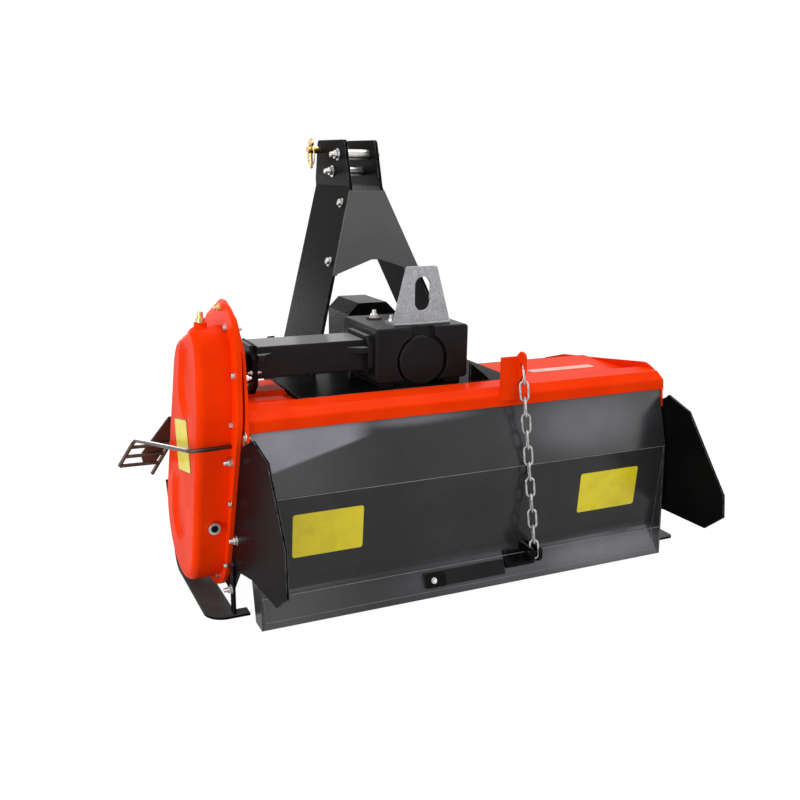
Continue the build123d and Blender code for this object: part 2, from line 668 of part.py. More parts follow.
# Chain: round links, each square to the next, from the bracket's hole down to the board's eye plate
wire_radius = 3.0
link_bow = 9.0  # radius of a link's ends, to the middle of the wire
link_straight = 25.5
link_pitch = 37.1
link_count = 12
chain_start = Vector(finger_x, chain_top[0], chain_top[1] + 1.0)
chain_end = Vector(202.0, -294.0, 0)
chain_length = (link_count - 1) * link_pitch + link_straight + 2 * link_bow
chain_level = hypot(chain_end.X - chain_start.X, chain_end.Y - chain_start.Y)
chain_end = Vector(chain_end.X, chain_end.Y, chain_start.Z - (chain_length**2 - chain_level**2) ** 0.5)
chain_run = (chain_end - chain_start).normalized()


def link(middle, across):
    """A link about its middle: its plane holds the chain's run and the direction across."""
    half = link_straight / 2
    side = across - chain_run * across.dot(chain_run)
    place = Plane(origin=middle, x_dir=side.normalized(), z_dir=side.cross(chain_run))
    turns = [radians(angle) for angle in (0, 45, 90, 135, 180)]
    bow = [(link_bow * cos(turn), link_bow * sin(turn)) for turn in turns]
    upper = [(x, y + half) for x, y in bow]
    lower = [(-x, -y - half) for x, y in bow]
    course = Wire.make_polygon([Vector(*point) for point in (*upper, *lower)], close=True)
    wire = Plane.XZ * Pos(link_bow, 0) * RegularPolygon(wire_radius, 6)
    return place * sweep(wire, course, transition=Transition.RIGHT)


links = []
for index in range(link_count):
    middle = chain_start + chain_run * (link_straight / 2 + link_bow + index * link_pitch)
    links.append(link(middle, Vector(1, 0, 0) if index % 2 == 0 else Vector(0, 1, 0)))
nodes["board_chain"] = Compound(links)

# Clevis: two lugs on a foot, with a pin through the chain's last link
clevis_lug = 7.0
clevis_gap = 13.0
pin_radius = 4.5
pin_head = (8.0, 6.0)  # radius and length
foot_x = (146.0, 224.0)  # low and high x of the clevis's foot
last_bow = chain_end - chain_run * (link_bow + wire_radius)
pin_middle = last_bow + chain_run * (link_bow - wire_radius - pin_radius - 0.3)
clevis_foot = (4.0, 36.0)  # from the lower fold down to it, and its width
clevis = on_foot_plate(*clevis_foot, clevis_lug, foot_x[0], foot_x[1] - foot_x[0])
lug_side = (
    (pin_middle.Y - 12, pin_middle.Z - 10), (pin_middle.Y - 12, pin_middle.Z + 10),
    (pin_middle.Y - 4, pin_middle.Z + 16), (board_fold_low[0] + 2, pin_middle.Z + 16),
    (board_fold_low[0] + 2, pin_middle.Z - 28), (pin_middle.Y - 4, pin_middle.Z - 18),
)
for inner, way in ((chain_end.X - clevis_gap / 2, -1), (chain_end.X + clevis_gap / 2, 1)):
    clevis += flat_yz(lug_side, min(inner, inner + way * clevis_lug), clevis_lug)
clevis_half = clevis_gap / 2 + clevis_lug
pin_beyond = 5.0  # how far the pin stands out at its plain end
pin_x = (chain_end.X - clevis_half - pin_head[1], chain_end.X + clevis_half + pin_beyond)
clevis += along_x(*pin_x, pin_middle.Y, pin_middle.Z, pin_radius)
clevis += along_x(pin_x[0], pin_x[0] + pin_head[1], pin_middle.Y, pin_middle.Z, pin_head[0])
clevis -= nodes["rear_board"]
nodes["chain_anchor"] = clevis.solids().sort_by(SortBy.VOLUME)[-1]

# Rotor: a tube with journals, and rings that each carry four L-shaped tines
rotor_x0 = left_inner + running_gap
rotor_x1 = right_inner - running_gap
bearing_depth = 36.0
bearing_x1 = right_flap_outer + bearing_depth
tube_body = along_x(rotor_x0, rotor_x1, rotor_y, rotor_z, rotor_tube_radius)
tube_body += along_x(case_plate_outer + 1, rotor_x0, rotor_y, rotor_z, journal_radius)
tube_body += along_x(rotor_x1, bearing_x1 - 12, rotor_y, rotor_z, journal_radius)
nodes["rotor_tube"] = tube_body
disc_thickness = 8.0
disc_sides = 24
ring_inset = 13.0  # from the last tine's foot to the end of the tube
first_ring = rotor_x0 + tine_foot_length + ring_inset
last_ring = rotor_x1 - tine_foot_length - ring_inset - disc_thickness
ring_pitch = (last_ring - first_ring) / (tine_rings - 1)
# Along a tine's foot, from its leading edge back: degrees round the rotor's axis
foot_stations = (8.0, -6.0, -21.0)
tine_leg = ((28.0, 40.0), (34.0, 96.0), (30.0, 128.0))
tine_leg_back = ((-46.0, 116.0), (-30.0, 84.0), (-28.0, 40.0))


def on_arc(angle, radius):
    return (radius * sin(radians(angle)), radius * cos(radians(angle)))


def tine(side):
    """One tine about the rotor's axis, pointing up: a leg on the disc, and a foot bent to one side."""
    leg_x = 0.0 if side < 0 else disc_thickness
    tip = leg_x + side * tine_foot_length
    outer = [on_arc(angle, tine_reach) for angle in foot_stations]
    inner = [on_arc(angle, tine_reach - tine_thickness) for angle in reversed(foot_stations)]
    leg_low = min(leg_x, leg_x + side * tine_thickness)
    leg_part = flat_yz((*tine_leg, *outer, *tine_leg_back), leg_low, tine_thickness)
    cutting_shape = ((leg_x, 30.0), (tip, 4.0), (tip, -46.0), (leg_x, -70.0))
    foot = flat_yz((*outer, *inner), min(leg_x, tip), tine_foot_length)
    return leg_part + (foot & flat_xy(cutting_shape, 0.0, 2 * tine_reach))


for ring in range(tine_rings):
    rim = Plane.YZ * RegularPolygon(tine_ring_disc, disc_sides)
    disc = extrude(rim, disc_thickness, dir=(1, 0, 0)) - along_x(0, disc_thickness, 0, 0, rotor_tube_radius)
    for index in range(4):
        turned = Rot(X=index * 90 + ring * ring_twist) * tine(-1 if index % 2 else 1)
        disc += turned
    nodes[f"tine_ring_{ring + 1}"] = Pos(first_ring + ring * ring_pitch, rotor_y, rotor_z) * disc

# Bearing at the rotor's right end: a flange on the side flap and a closed housing
bearing_flange = (10.0, 68.0)  # thickness and radius
bearing_radius = 52.0
bearing_end = 8.0  # thickness of its closed end
bearing_step_x = right_flap_outer + bearing_flange[0]
bearing = along_x(right_flap_outer, bearing_step_x, rotor_y, rotor_z, bearing_flange[1])
bearing += along_x(bearing_step_x, bearing_x1, rotor_y, rotor_z, bearing_radius)
bearing = chamfer(bearing.faces().sort_by(Axis.X)[-1].edges(), 5.0)
bearing -= along_x(right_flap_outer, bearing_x1 - bearing_end, rotor_y, rotor_z, journal_radius + journal_gap)
nodes["rotor_bearing"] = bearing

# The skids' uprights: low and high y, and the height of the top
rear_post = (-136.0, -114.0, 122.0)
front_post = (196.0, 222.0, 132.0)
rear_upright = (
    (rear_post[0], skid_thickness), (rear_post[1], skid_thickness),
    (rear_post[1], rear_post[2]), (rear_post[0], rear_post[2]),
)
toe_slope = skid_toe[1] / (skid_toe[0] - skid_bend_y)
front_upright = (
    (front_post[0], skid_thickness + toe_slope * (front_post[0] - skid_bend_y)),
    (front_post[1], skid_thickness + toe_slope * (front_post[1] - skid_bend_y)),
    (front_post[1], front_post[2]), (front_post[0], front_post[2]),
)


def skid(width, rear_y, corner):
    """The left skid: a strip turned up in front, with a tab inwards behind and two uprights on the flap."""
    points = ((rear_y, 0.0), (skid_bend_y, 0.0), skid_toe)
    section = folded(points, skid_thickness, skid_turn, Side.LEFT)
    sole = extrude(Plane.YZ.offset(left_flap_outer - width) * section, width, dir=(1, 0, 0))
    tab_x = (left_flap_outer, left_flap_outer + skid_tab)
    sole += block(tab_x, (rear_y, rear_y + skid_tab), (0.0, skid_thickness))
    rear_corner = sole.edges().filter_by(Axis.Z).group_by(Axis.Y)[0].sort_by(Axis.X)[0]
    sole = fillet(rear_corner, corner)
    for upright in (rear_upright, front_upright):
        sole += flat_yz(upright, left_flap_outer - skid_thickness, skid_thickness)
    return sole


# Skids. The right one is wider, for the left one runs under the chain case
left_skid_corner = 44.0
right_skid_corner = 12.0
nodes["left_skid"] = skid(skid_width, skid_rear_y, left_skid_corner)
skid_middle = (left_flap_outer + right_flap_outer) / 2
right_skid = skid(right_skid_width, right_skid_rear_y, right_skid_corner)
nodes["right_skid"] = mirror(right_skid, about=Plane.YZ.offset(skid_middle))

# Side guard: a bent rod round the chain case, with three rungs to a bracket on the case's front
guard_rod = 4.5
guard_route = (
    (case_plate_outer, -176.0, 402.0), (-556.0, -190.0, 405.0), (-603.0, 205.0, 325.0),
    (-640.0, 216.0, 262.0),
)
guard_path = FilletPolyline(*guard_route, radius=22.0)
ladder = sweep(Plane(guard_path ^ 0) * Circle(guard_rod), guard_path)
# The ladder at its end: an inner rail beside the bend, three rungs between them, and a flat tie to the case
bend_low = Vector(*guard_route[3])
bend_run = Vector(*guard_route[2]) - bend_low
rail_low = Vector(-565.0, bend_low.Y, 233.0)
rail_lead = (bend_low.Z - rail_low.Z) / bend_run.Z  # how far up the inner rail the lowest rung meets it
rung_shares = (0.0, 0.36, 0.72)  # where along the bend each rung starts
rail_reach = 1.7  # the inner rail's length over the bend's
for share in rung_shares:
    rung_start, rung_end = bend_low + bend_run * share, rail_low + bend_run * (share + rail_lead)
    ladder += rod(tuple(rung_start), tuple(rung_end), guard_rod)
ladder += rod(tuple(rail_low), tuple(rail_low + bend_run * rail_reach), guard_rod)
tie_x = (-482.0, -476.0)
tie_z = (338.0, 372.0)
tie = (
    (-590.0, 286.0), (-584.0, 258.0), (-560.0, 258.0), (-500.0, tie_z[0]), (tie_x[1], tie_z[0]),
    (tie_x[1], tie_z[1]), (-520.0, tie_z[1]),
)
tie_sheet = 5.0
ladder += flat_xz(tie, bend_low.Y - tie_sheet, tie_sheet)
ladder += block(tie_x, (140.0, bend_low.Y), tie_z) - nodes["chain_case_cover"]
nodes["side_guard"] = ladder - nodes["chain_case_back"]

# The origin is the middle of the footprint on the ground
whole = Compound(children=[copy for piece in nodes.values() for copy in piece.solids()]).bounding_box()
shift = Vector(-(whole.min.X + whole.max.X) / 2, -(whole.min.Y + whole.max.Y) / 2, -whole.min.Z)
for name, piece in nodes.items():
    export_step(Pos(shift) * piece, f"parts/{name}.step")
print("nodes", len(nodes), "size", [round(length, 1) for length in whole.size])
print("shift", [round(length, 3) for length in shift])
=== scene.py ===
import math

import bmesh
import bpy
from mathutils import Matrix, Vector
from mathutils.bvhtree import BVHTree


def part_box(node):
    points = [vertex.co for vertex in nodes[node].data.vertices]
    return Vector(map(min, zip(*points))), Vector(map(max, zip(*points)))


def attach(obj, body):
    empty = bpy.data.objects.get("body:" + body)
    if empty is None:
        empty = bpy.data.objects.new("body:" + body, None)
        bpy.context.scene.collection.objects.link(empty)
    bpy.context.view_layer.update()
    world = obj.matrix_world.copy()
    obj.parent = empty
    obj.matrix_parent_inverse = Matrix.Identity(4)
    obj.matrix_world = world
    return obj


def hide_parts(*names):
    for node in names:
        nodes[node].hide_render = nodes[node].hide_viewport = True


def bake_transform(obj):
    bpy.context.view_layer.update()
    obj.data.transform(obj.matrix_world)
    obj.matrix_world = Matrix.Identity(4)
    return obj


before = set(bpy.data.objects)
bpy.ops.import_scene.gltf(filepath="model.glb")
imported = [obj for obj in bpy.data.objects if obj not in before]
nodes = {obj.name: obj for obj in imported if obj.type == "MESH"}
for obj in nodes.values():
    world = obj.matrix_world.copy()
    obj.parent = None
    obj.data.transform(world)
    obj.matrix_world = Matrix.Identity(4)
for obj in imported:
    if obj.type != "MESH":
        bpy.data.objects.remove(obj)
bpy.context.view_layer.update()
print("frame loaded:", len(nodes), "nodes")


# shader helpers: sockets that add and multiply like numbers
class Signal:
    def __init__(self, finish, socket):
        self.finish = finish
        self.socket = socket

    def maths(self, operation, first, second):
        return self.finish.node("Math", {"operation": operation}, {0: first, 1: second})

    def __add__(self, other):
        return self.maths("ADD", self, other)

    def __radd__(self, other):
        return self.maths("ADD", other, self)

    def __sub__(self, other):
        return self.maths("SUBTRACT", self, other)

    def __rsub__(self, other):
        return self.maths("SUBTRACT", other, self)

    def __mul__(self, other):
        return self.maths("MULTIPLY", self, other)

    def __rmul__(self, other):
        return self.maths("MULTIPLY", other, self)

    def power(self, other):
        return self.maths("POWER", self, other)


class Finish:
    def __init__(self, name, kind="materials"):
        self.owner = getattr(bpy.data, kind).new(name)
        self.owner.use_nodes = True
        self.tree = self.owner.node_tree
        self.tree.nodes.clear()
        self.place = self.node("TexCoord", {}, {}, "Object")

    def node(self, kind, settings, sockets, output=0):
        made = self.tree.nodes.new("ShaderNode" + kind)
        for key, value in settings.items():
            setattr(made, key, value)
        for key, value in sockets.items():
            socket = made.inputs[key]
            if isinstance(value, Signal):
                self.tree.links.new(value.socket, socket)
            elif isinstance(value, tuple) and len(value) == 3 and socket.type == "RGBA":
                socket.default_value = (*value, 1)
            else:
                socket.default_value = value
        return Signal(self, made.outputs[output]) if made.outputs else None

    def noise(self, scale, detail=2.0, rough=0.5):
        sockets = {"Vector": self.place, "Scale": scale, "Detail": detail, "Roughness": rough}
        return self.node("TexNoise", {}, sockets, "Fac")

    def step(self, signal, low, high):
        sockets = {"Value": signal, "From Min": low, "From Max": high}
        return self.node("MapRange", {"interpolation_type": "SMOOTHSTEP"}, sockets)

    def axis(self, vector, name):
        return self.node("SeparateXYZ", {}, {"Vector": vector}, name)

    def blend(self, mask, first, second):
        return self.node("Mix", {"data_type": "RGBA"}, {"Factor": mask, 6: first, 7: second}, 2)

    def softEdge(self, radius):
        return self.node("Bevel", {"samples": 4}, {"Radius": radius})

    def edgeMask(self, soft):
        sharp = self.node("NewGeometry", {}, {}, "True Normal")
        same = self.node("VectorMath", {"operation": "DOT_PRODUCT"}, {0: soft, 1: sharp}, "Value")
        return self.step(1 - same, *wearAndHighlightLean)

    def surface(self, **sockets):
        names = {key: key.replace("_", " ") for key in sockets}
        shader = self.node("BsdfPrincipled", {}, {names[key]: value for key, value in sockets.items()})
        self.node("OutputMaterial", {}, {"Surface": shader})
        return self.owner


def bump(finish, height, strength, distance, normal=None):
    sockets = {"Height": height, "Strength": strength, "Distance": distance}
    if normal:
        sockets["Normal"] = normal
    return finish.node("Bump", {}, sockets)


# paints and platings
wearAndHighlightLean = (0.03, 0.22)  # how far the bevelled normal leans where the pale edge, wear and painted highlight, starts, and where it is full
paint = {  # coat, its shade, pale edge: wear and painted highlight
    "orange": ((0.90, 0.043, 0.0012), (0.83, 0.034, 0.0008), (0.98, 0.120, 0.022)),
    "black": ((0.0060, 0.0062, 0.0068), (0.0040, 0.0040, 0.0045), (0.120, 0.120, 0.122)),
    "grey": ((0.033, 0.0325, 0.035), (0.025, 0.025, 0.027), (0.26, 0.26, 0.27)),
    "cover": ((0.092, 0.091, 0.092), (0.078, 0.078, 0.078), (0.32, 0.32, 0.33)),
    "casting": ((0.0125, 0.0125, 0.0140), (0.0085, 0.0085, 0.0090), (0.070, 0.070, 0.071)),
    # a darker copy of the black paint for the legs, flaps and saddle: painted shade, with paler edges as
    # painted highlight
    "plate": ((0.0055, 0.0055, 0.0058), (0.0038, 0.0038, 0.0040), (0.280, 0.280, 0.282)),
    # a lighter copy of the black paint for the axle tube: painted light, strongest on its top
    "tube": ((0.0200, 0.0200, 0.0215), (0.0140, 0.0140, 0.0150), (0.160, 0.160, 0.162)),
}
gloss = {  # roughness, its change, coat, coat roughness, specular level, grain per metre, grain depth
    "orange": (0.30, 0.10, 0.0, 0.12, 0.015, 900.0, 0.00002),
    "black": (0.26, 0.10, 0.0, 0.20, 0.035, 1400.0, 0.00003),
    "grey": (0.20, 0.09, 0.0, 0.12, 0.26, 1500.0, 0.00003),
    "cover": (0.30, 0.09, 0.0, 0.12, 0.20, 1500.0, 0.00003),
    "casting": (0.36, 0.12, 0.0, 0.30, 0.10, 520.0, 0.00022),
    "plate": (0.28, 0.10, 0.0, 0.20, 0.010, 1400.0, 0.00003),
    "tube": (0.24, 0.10, 0.0, 0.20, 0.060, 1400.0, 0.00003),
}

topDustAndHighlight = {"black": 0.40, "casting": 0.30, "tube": 1.30}  # how much pale dust, with painted highlight, lies on upward faces
# pale tones: dust with painted highlight on upward faces, and painted reflection on the board
dustAndHighlightTone, paintedReflectionTone = (0.20, 0.20, 0.205), (0.33, 0.335, 0.38)
facingUp = (0.80, 0.99)  # a normal's z where the dust and painted highlight start, and where they are full


def dustAndHighlightMask(finish, amount):
    sharp = finish.node("NewGeometry", {}, {}, "True Normal")
    upward = finish.step(finish.axis(sharp, "Z"), *facingUp)
    return upward * (0.45 + finish.noise(13.0, 5.0, 0.6) * 0.9) * amount


# painted reflection on the board, pale patches: x and z of its middle, half its width and height, how much
reflectionPatches = (
    (-0.12, 0.434, 0.20, 0.020, 0.42), (0.30, 0.385, 0.26, 0.090, 0.24), (0.40, 0.060, 0.26, 0.055, 0.40),
    (0.06, 0.060, 0.34, 0.060, 0.20),
)

# a wedge of the same painted reflection in the board's upper corner: its lower edge's start, slope and
# softness, where it fades towards the middle, and how much
cornerReflection = {"x": -0.450, "z": 0.354, "slope": 0.238, "soft": 0.008, "fade": (0.215, 0.285), "amount": 0.74}


# where the board's grey is painted paler, as reflection
def paintedReflectionMask(finish):
    x, z = finish.axis(finish.place, "X"), finish.axis(finish.place, "Z")
    size = cornerReflection
    above = z - (x - size["x"]) * size["slope"] - size["z"]
    total = finish.step(above, 0.0, size["soft"]) * finish.step(x * -1, *size["fade"]) * size["amount"]
    for middleX, middleZ, halfX, halfZ, amount in reflectionPatches:
        across = (x - middleX) * (1 / halfX)
        up = (z - middleZ) * (1 / halfZ)
        total = total + finish.step(1 - (across * across + up * up).power(0.5), 0.0, 0.9) * amount
    return total * (0.55 + finish.noise(9.0, 5.0, 0.65) * 0.9)


def makePaint(name, edgeRadius=0.0014, reflectionPainted=False):
    body, shade, wornAndHighlitEdge = paint[name]
    rough, change, coat, coatRough, specular, grain, depth = gloss[name]
    finish = Finish(name + "Paint")
    soft = finish.softEdge(edgeRadius)
    edge = finish.edgeMask(soft)
    cloud = finish.noise(7.0, 4.0, 0.6)
    speck = finish.noise(grain, 2.0, 0.5)
    dust = finish.step(finish.noise(38.0, 6.0, 0.7), 0.52, 0.78)
    tone = finish.blend(finish.step(cloud, 0.35, 0.65), body, shade)
    # upward faces painted paler: dust, and painted highlight on the tops
    if name in topDustAndHighlight:
        tone = finish.blend(dustAndHighlightMask(finish, topDustAndHighlight[name]), tone, dustAndHighlightTone)
    # the board's grey gets pale patches of painted reflection
    if reflectionPainted:
        tone = finish.blend(paintedReflectionMask(finish), tone, paintedReflectionTone)
    # pale edges: wear, and painted highlight where edges catch the lamps
    tone = finish.blend(edge * finish.step(finish.noise(55.0, 3.0), 0.30, 0.62) * 0.85, tone, wornAndHighlitEdge)
    roughness = rough + (cloud - 0.5) * change + dust * (change * 0.5) + edge * 0.08
    peel = bump(finish, speck, 0.5, depth, soft)
    wave = bump(finish, finish.noise(60.0, 1.0), 0.25, 0.00012, peel)
    return finish.surface(
        Base_Color=tone, Roughness=roughness, Normal=wave, Coat_Weight=coat, Coat_Roughness=coatRough,
        Specular_IOR_Level=specular,
    )


metals = {  # light and dark tone, roughness, clouds per metre, how metallic
    "zincPlate": ((0.66, 0.66, 0.65), (0.50, 0.50, 0.48), 0.30, 60.0, 1.0),
    "chainSteel": ((0.58, 0.57, 0.56), (0.30, 0.29, 0.29), 0.34, 80.0, 1.0),
    "brassPlate": ((0.80, 0.56, 0.24), (0.62, 0.38, 0.13), 0.26, 70.0, 1.0),
    # a dark rod whose brown tone is painted reflection of the orange parts
    "bronzedRod": ((0.085, 0.052, 0.034), (0.045, 0.030, 0.022), 0.30, 40.0, 0.55),
}


def makeMetal(name):
    light, dark, rough, scale, metallic = metals[name]
    finish = Finish(name)
    soft = finish.softEdge(0.0006)
    cloud = finish.noise(scale, 4.0, 0.6)
    fine = finish.noise(scale * 9, 2.0, 0.5)
    tone = finish.blend(finish.step(cloud, 0.34, 0.70), light, dark)
    roughness = rough + (fine - 0.5) * 0.16 + (cloud - 0.5) * 0.12
    skin = bump(finish, fine, 0.4, 0.00005, soft)
    return finish.surface(Base_Color=tone, Metallic=metallic, Roughness=roughness, Normal=skin)


def makeSpangle():
    finish = Finish("galvanisedPlate")
    cells = finish.node("TexVoronoi", {"feature": "F1"}, {"Vector": finish.place, "Scale": 330.0}, "Color")
    grey = finish.node("RGBToBW", {}, {"Color": cells})
    fine = finish.noise(900.0, 2.0)
    tone = finish.blend(grey, (0.24, 0.245, 0.26), (0.46, 0.47, 0.49))
    streak = finish.step(finish.noise(22.0, 4.0, 0.65), 0.45, 0.75)
    tone = finish.blend(streak * 0.35, tone, (0.20, 0.20, 0.21))
    roughness = 0.40 + grey * 0.18 + (fine - 0.5) * 0.1
    skin = bump(finish, grey + fine * 0.5, 0.35, 0.00006, finish.softEdge(0.0009))
    return finish.surface(Base_Color=tone, Metallic=0.85, Roughness=roughness, Normal=skin)


plateTones = {  # light and dark
    "yellowPlate": ((0.86, 0.71, 0.010), (0.77, 0.63, 0.008)),
    "plateRim": ((0.060, 0.052, 0.012), (0.045, 0.040, 0.010)),
    "palePlate": ((0.78, 0.42, 0.34), (0.70, 0.34, 0.27)),
    # pale grey for the painted highlight along the board's folds
    "seamLine": ((0.24, 0.24, 0.25), (0.15, 0.15, 0.16)),
}


def makePlate(name):
    light, dark = plateTones[name]
    finish = Finish(name)
    cloud = finish.noise(30.0, 3.0)
    tone = finish.blend(finish.step(cloud, 0.35, 0.7), light, dark)
    skin = bump(finish, finish.noise(500.0, 2.0), 0.3, 0.00002)
    roughness = 0.34 + (cloud - 0.5) * 0.12
    return finish.surface(Base_Color=tone, Roughness=roughness, Normal=skin, Coat_Weight=0.15)


def makeRubber():
    finish = Finish("blackRubber")
    fine = finish.noise(700.0, 3.0)
    tone = finish.blend(finish.noise(20.0, 3.0), (0.0035, 0.0035, 0.0040), (0.0060, 0.0060, 0.0065))
    skin = bump(finish, fine, 0.4, 0.00008, finish.softEdge(0.0015))
    return finish.surface(
        Base_Color=tone, Roughness=0.55 + (fine - 0.5) * 0.2, Normal=skin, Specular_IOR_Level=0.06
    )


def makeBaredPaint():  # the tines: black paint over steel that shows along the edges
    finish = Finish("tinePaint")
    soft = finish.softEdge(0.0012)
    edge = finish.edgeMask(soft) * finish.step(finish.noise(90.0, 4.0, 0.7), 0.40, 0.62)
    cloud = finish.noise(26.0, 5.0, 0.65)
    tone = finish.blend(finish.step(cloud, 0.4, 0.66), (0.009, 0.009, 0.010), (0.018, 0.017, 0.016))
    tone = finish.blend(edge, tone, (0.30, 0.29, 0.28))
    skin = bump(finish, finish.noise(300.0, 3.0), 0.5, 0.00008, soft)
    roughness = 0.38 + (cloud - 0.5) * 0.2
    return finish.surface(Base_Color=tone, Metallic=edge * 0.9, Roughness=roughness, Normal=skin)


orange = makePaint("orange", 0.0018)
black = makePaint("black")
grey = makePaint("grey", 0.0020, reflectionPainted=True)
coverGrey = makePaint("cover", 0.0020)
casting = makePaint("casting", 0.0030)
zinc, chainSteel, brass, paintedReflectionRodFinish = (makeMetal(name) for name in metals)
galvanised = makeSpangle()
yellow, plateRim, palePlate, seamLine = (makePlate(name) for name in plateTones)
rubber = makeRubber()
tinePaint = makeBaredPaint()
# the black paint's darker copy: painted shade, with painted highlight on its edges
shadedLegPaint = makePaint("plate", 0.0030)
# the black paint's lighter copy for the axle tube: painted light
litTubePaint = makePaint("tube", 0.0016)

finishOf = {
    shadedLegPaint: ("mast_left_leg", "mast_right_leg", "left_side_flap", "right_side_flap", "saddle"),
    litTubePaint: ("axle_tube",),
    orange: (
        "hood", "left_side_plate", "right_side_plate",
        "chain_case_back", "chain_case_cover", "chain_bracket",
    ),
    grey: ("rear_board",),
    coverGrey: ("mast_cover",),
    casting: ("gearbox_housing", "gearbox_rear_cap", "rotor_bearing", "board_strap"),
    zinc: ("mast_spacers", "hinge_rod", "level_plug", "left_hitch_pin", "right_hitch_pin", "input_shaft"),
    galvanised: ("lifting_lug",),
    brass: ("breather", "top_link_pin"),
    paintedReflectionRodFinish: ("side_guard",),
    tinePaint: tuple(name for name in nodes if name.startswith("tine_ring")),
}
nodeFinish = {name: finish for finish, names in finishOf.items() for name in names}
for name, node in nodes.items():
    node.data.materials.clear()
    node.data.materials.append(nodeFinish.get(name, black))
print("finishes on:", len(nodes))


# finding places on the CAD pieces
trees = {}
clear = 0.1  # how far outside a piece's box a ray starts


def touch(name, start, direction):
    if name not in trees:
        mesh = nodes[name].data
        trees[name] = BVHTree.FromPolygons(
            [vertex.co.copy() for vertex in mesh.vertices], [tuple(face.vertices) for face in mesh.polygons]
        )
    spot, normal, _, _ = trees[name].ray_cast(Vector(start), Vector(direction).normalized())
    if spot is None:
        raise RuntimeError(f"nothing of {name} from {tuple(start)}")
    return spot, normal


def middle(name):
    low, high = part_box(name)
    return (Vector(low) + Vector(high)) / 2


def newPiece(name, mesh, finish, body):
    piece = bpy.data.objects.new(name, mesh)
    bpy.context.scene.collection.objects.link(piece)
    mesh.materials.clear()
    mesh.materials.append(finish)
    if body:
        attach(piece, body)
    return piece


def meshFrom(name, work):
    mesh = bpy.data.meshes.new(name)
    work.to_mesh(mesh)
    work.free()
    return mesh


def smooth(mesh, limit):
    # smooth faces, with sharp edges where they meet at more than limit degrees
    for face in mesh.polygons:
        face.use_smooth = True
    mesh.set_sharp_from_angle(angle=math.radians(limit))


# fasteners: turned sections, round or hexagonal, at a size of 1
fastener = {
    "washerRadius": 0.95, "washerHeight": 0.14, "sides": 24,
    "headRadius": 0.74, "headHeight": 0.58, "crown": 0.10,
    "studRadius": 0.42, "studHeight": 1.25, "studSides": 16,
    "threads": 5, "threadFlank": 0.03, "tipHeight": 0.06,
    "crownShare": 0.84, "rootShare": 0.9, "tipShare": 0.8,  # of the head's radius and the stud's
    "turn": math.pi / 3, "turnSeed": 7,  # each stands turned by up to this much
}


def turned(work, rings, sides):
    # rings: radius, height and whether that ring is a hexagon
    loops = []
    for radius, height, hexed in rings:
        loop = []
        for step in range(sides):
            angle = 2 * math.pi * step / sides
            reach = radius
            if hexed:
                lean = (angle + math.pi / 6) % (math.pi / 3) - math.pi / 6
                reach = radius * math.cos(math.pi / 6) / math.cos(lean)
            loop.append(work.verts.new((reach * math.cos(angle), reach * math.sin(angle), height)))
        loops.append(loop)
    for lower, upper in zip(loops, loops[1:]):
        for step in range(sides):
            after = (step + 1) % sides
            work.faces.new((lower[step], lower[after], upper[after], upper[step]))
    work.faces.new(loops[-1])
    work.faces.new(list(reversed(loops[0])))


def flatDisc(radius, thick):
    return [(radius, 0.0, False), (radius, thick, False)]


def boltHead(stud):
    size = fastener
    low = size["washerHeight"]
    high = low + size["headHeight"]
    work = bmesh.new()
    turned(work, flatDisc(size["washerRadius"], low), size["sides"])
    rim, crownAt = size["headRadius"], high - size["crown"]
    rings = [(rim, low, True), (rim, crownAt, True), (rim * size["crownShare"], high, False)]
    turned(work, rings, size["sides"])
    if stud:
        reach = size["studRadius"]
        rings = [(reach, high, False)]
        for turn in range(size["threads"]):
            height = high + (size["studHeight"] - size["headHeight"]) * (turn + 0.5) / size["threads"]
            root = (reach * size["rootShare"], height - size["threadFlank"], False)
            rings += [root, (reach, height, False)]
        rings.append((reach * size["tipShare"], size["studHeight"] + low + size["tipHeight"], False))
        turned(work, rings, size["studSides"])
    mesh = meshFrom("nutWithStud" if stud else "hexHead", work)
    smooth(mesh, 30)
    return mesh


def pattern(name, mesh):
    piece = bpy.data.objects.new(name, mesh)
    bpy.context.scene.collection.objects.link(piece)
    return piece


def openTree(name, **inputs):
    # a Geometry Nodes tree with these named inputs between its geometry and its finish
    tree = bpy.data.node_groups.new(name, "GeometryNodeTree")
    for label, kind in {"Geometry": "Geometry", **inputs, "Finish": "Material"}.items():
        tree.interface.new_socket(label, in_out="INPUT", socket_type="NodeSocket" + kind)
    tree.interface.new_socket("Geometry", in_out="OUTPUT", socket_type="NodeSocketGeometry")
    return tree, tree.nodes.new("NodeGroupInput").outputs


def closeTree(tree, given, made):
    # what was made becomes real geometry in the finish asked for
    make, link = tree.nodes.new, tree.links.new
    real = make("GeometryNodeRealizeInstances")
    link(made, real.inputs[0])
    coat = make("GeometryNodeSetMaterial")
    link(real.outputs[0], coat.inputs["Geometry"])
    link(given["Finish"], coat.inputs["Material"])
    link(coat.outputs[0], make("NodeGroupOutput").inputs[0])
    return tree


def pointed(tree, vector, angle):
    # the rotation that points Z along a vector and turns about it by an angle
    make, link = tree.nodes.new, tree.links.new
    align = make("FunctionNodeAlignRotationToVector")
    align.axis = "Z"
    link(vector, align.inputs["Vector"])
    turn = make("FunctionNodeAxisAngleToRotation")
    turn.inputs["Axis"].default_value = (0, 0, 1)
    link(angle, turn.inputs["Angle"])
    spun = make("FunctionNodeRotateRotation")
    spun.rotation_space = "LOCAL"
    link(align.outputs[0], spun.inputs[0])
    link(turn.outputs[0], spun.inputs[1])
    return spun.outputs[0]


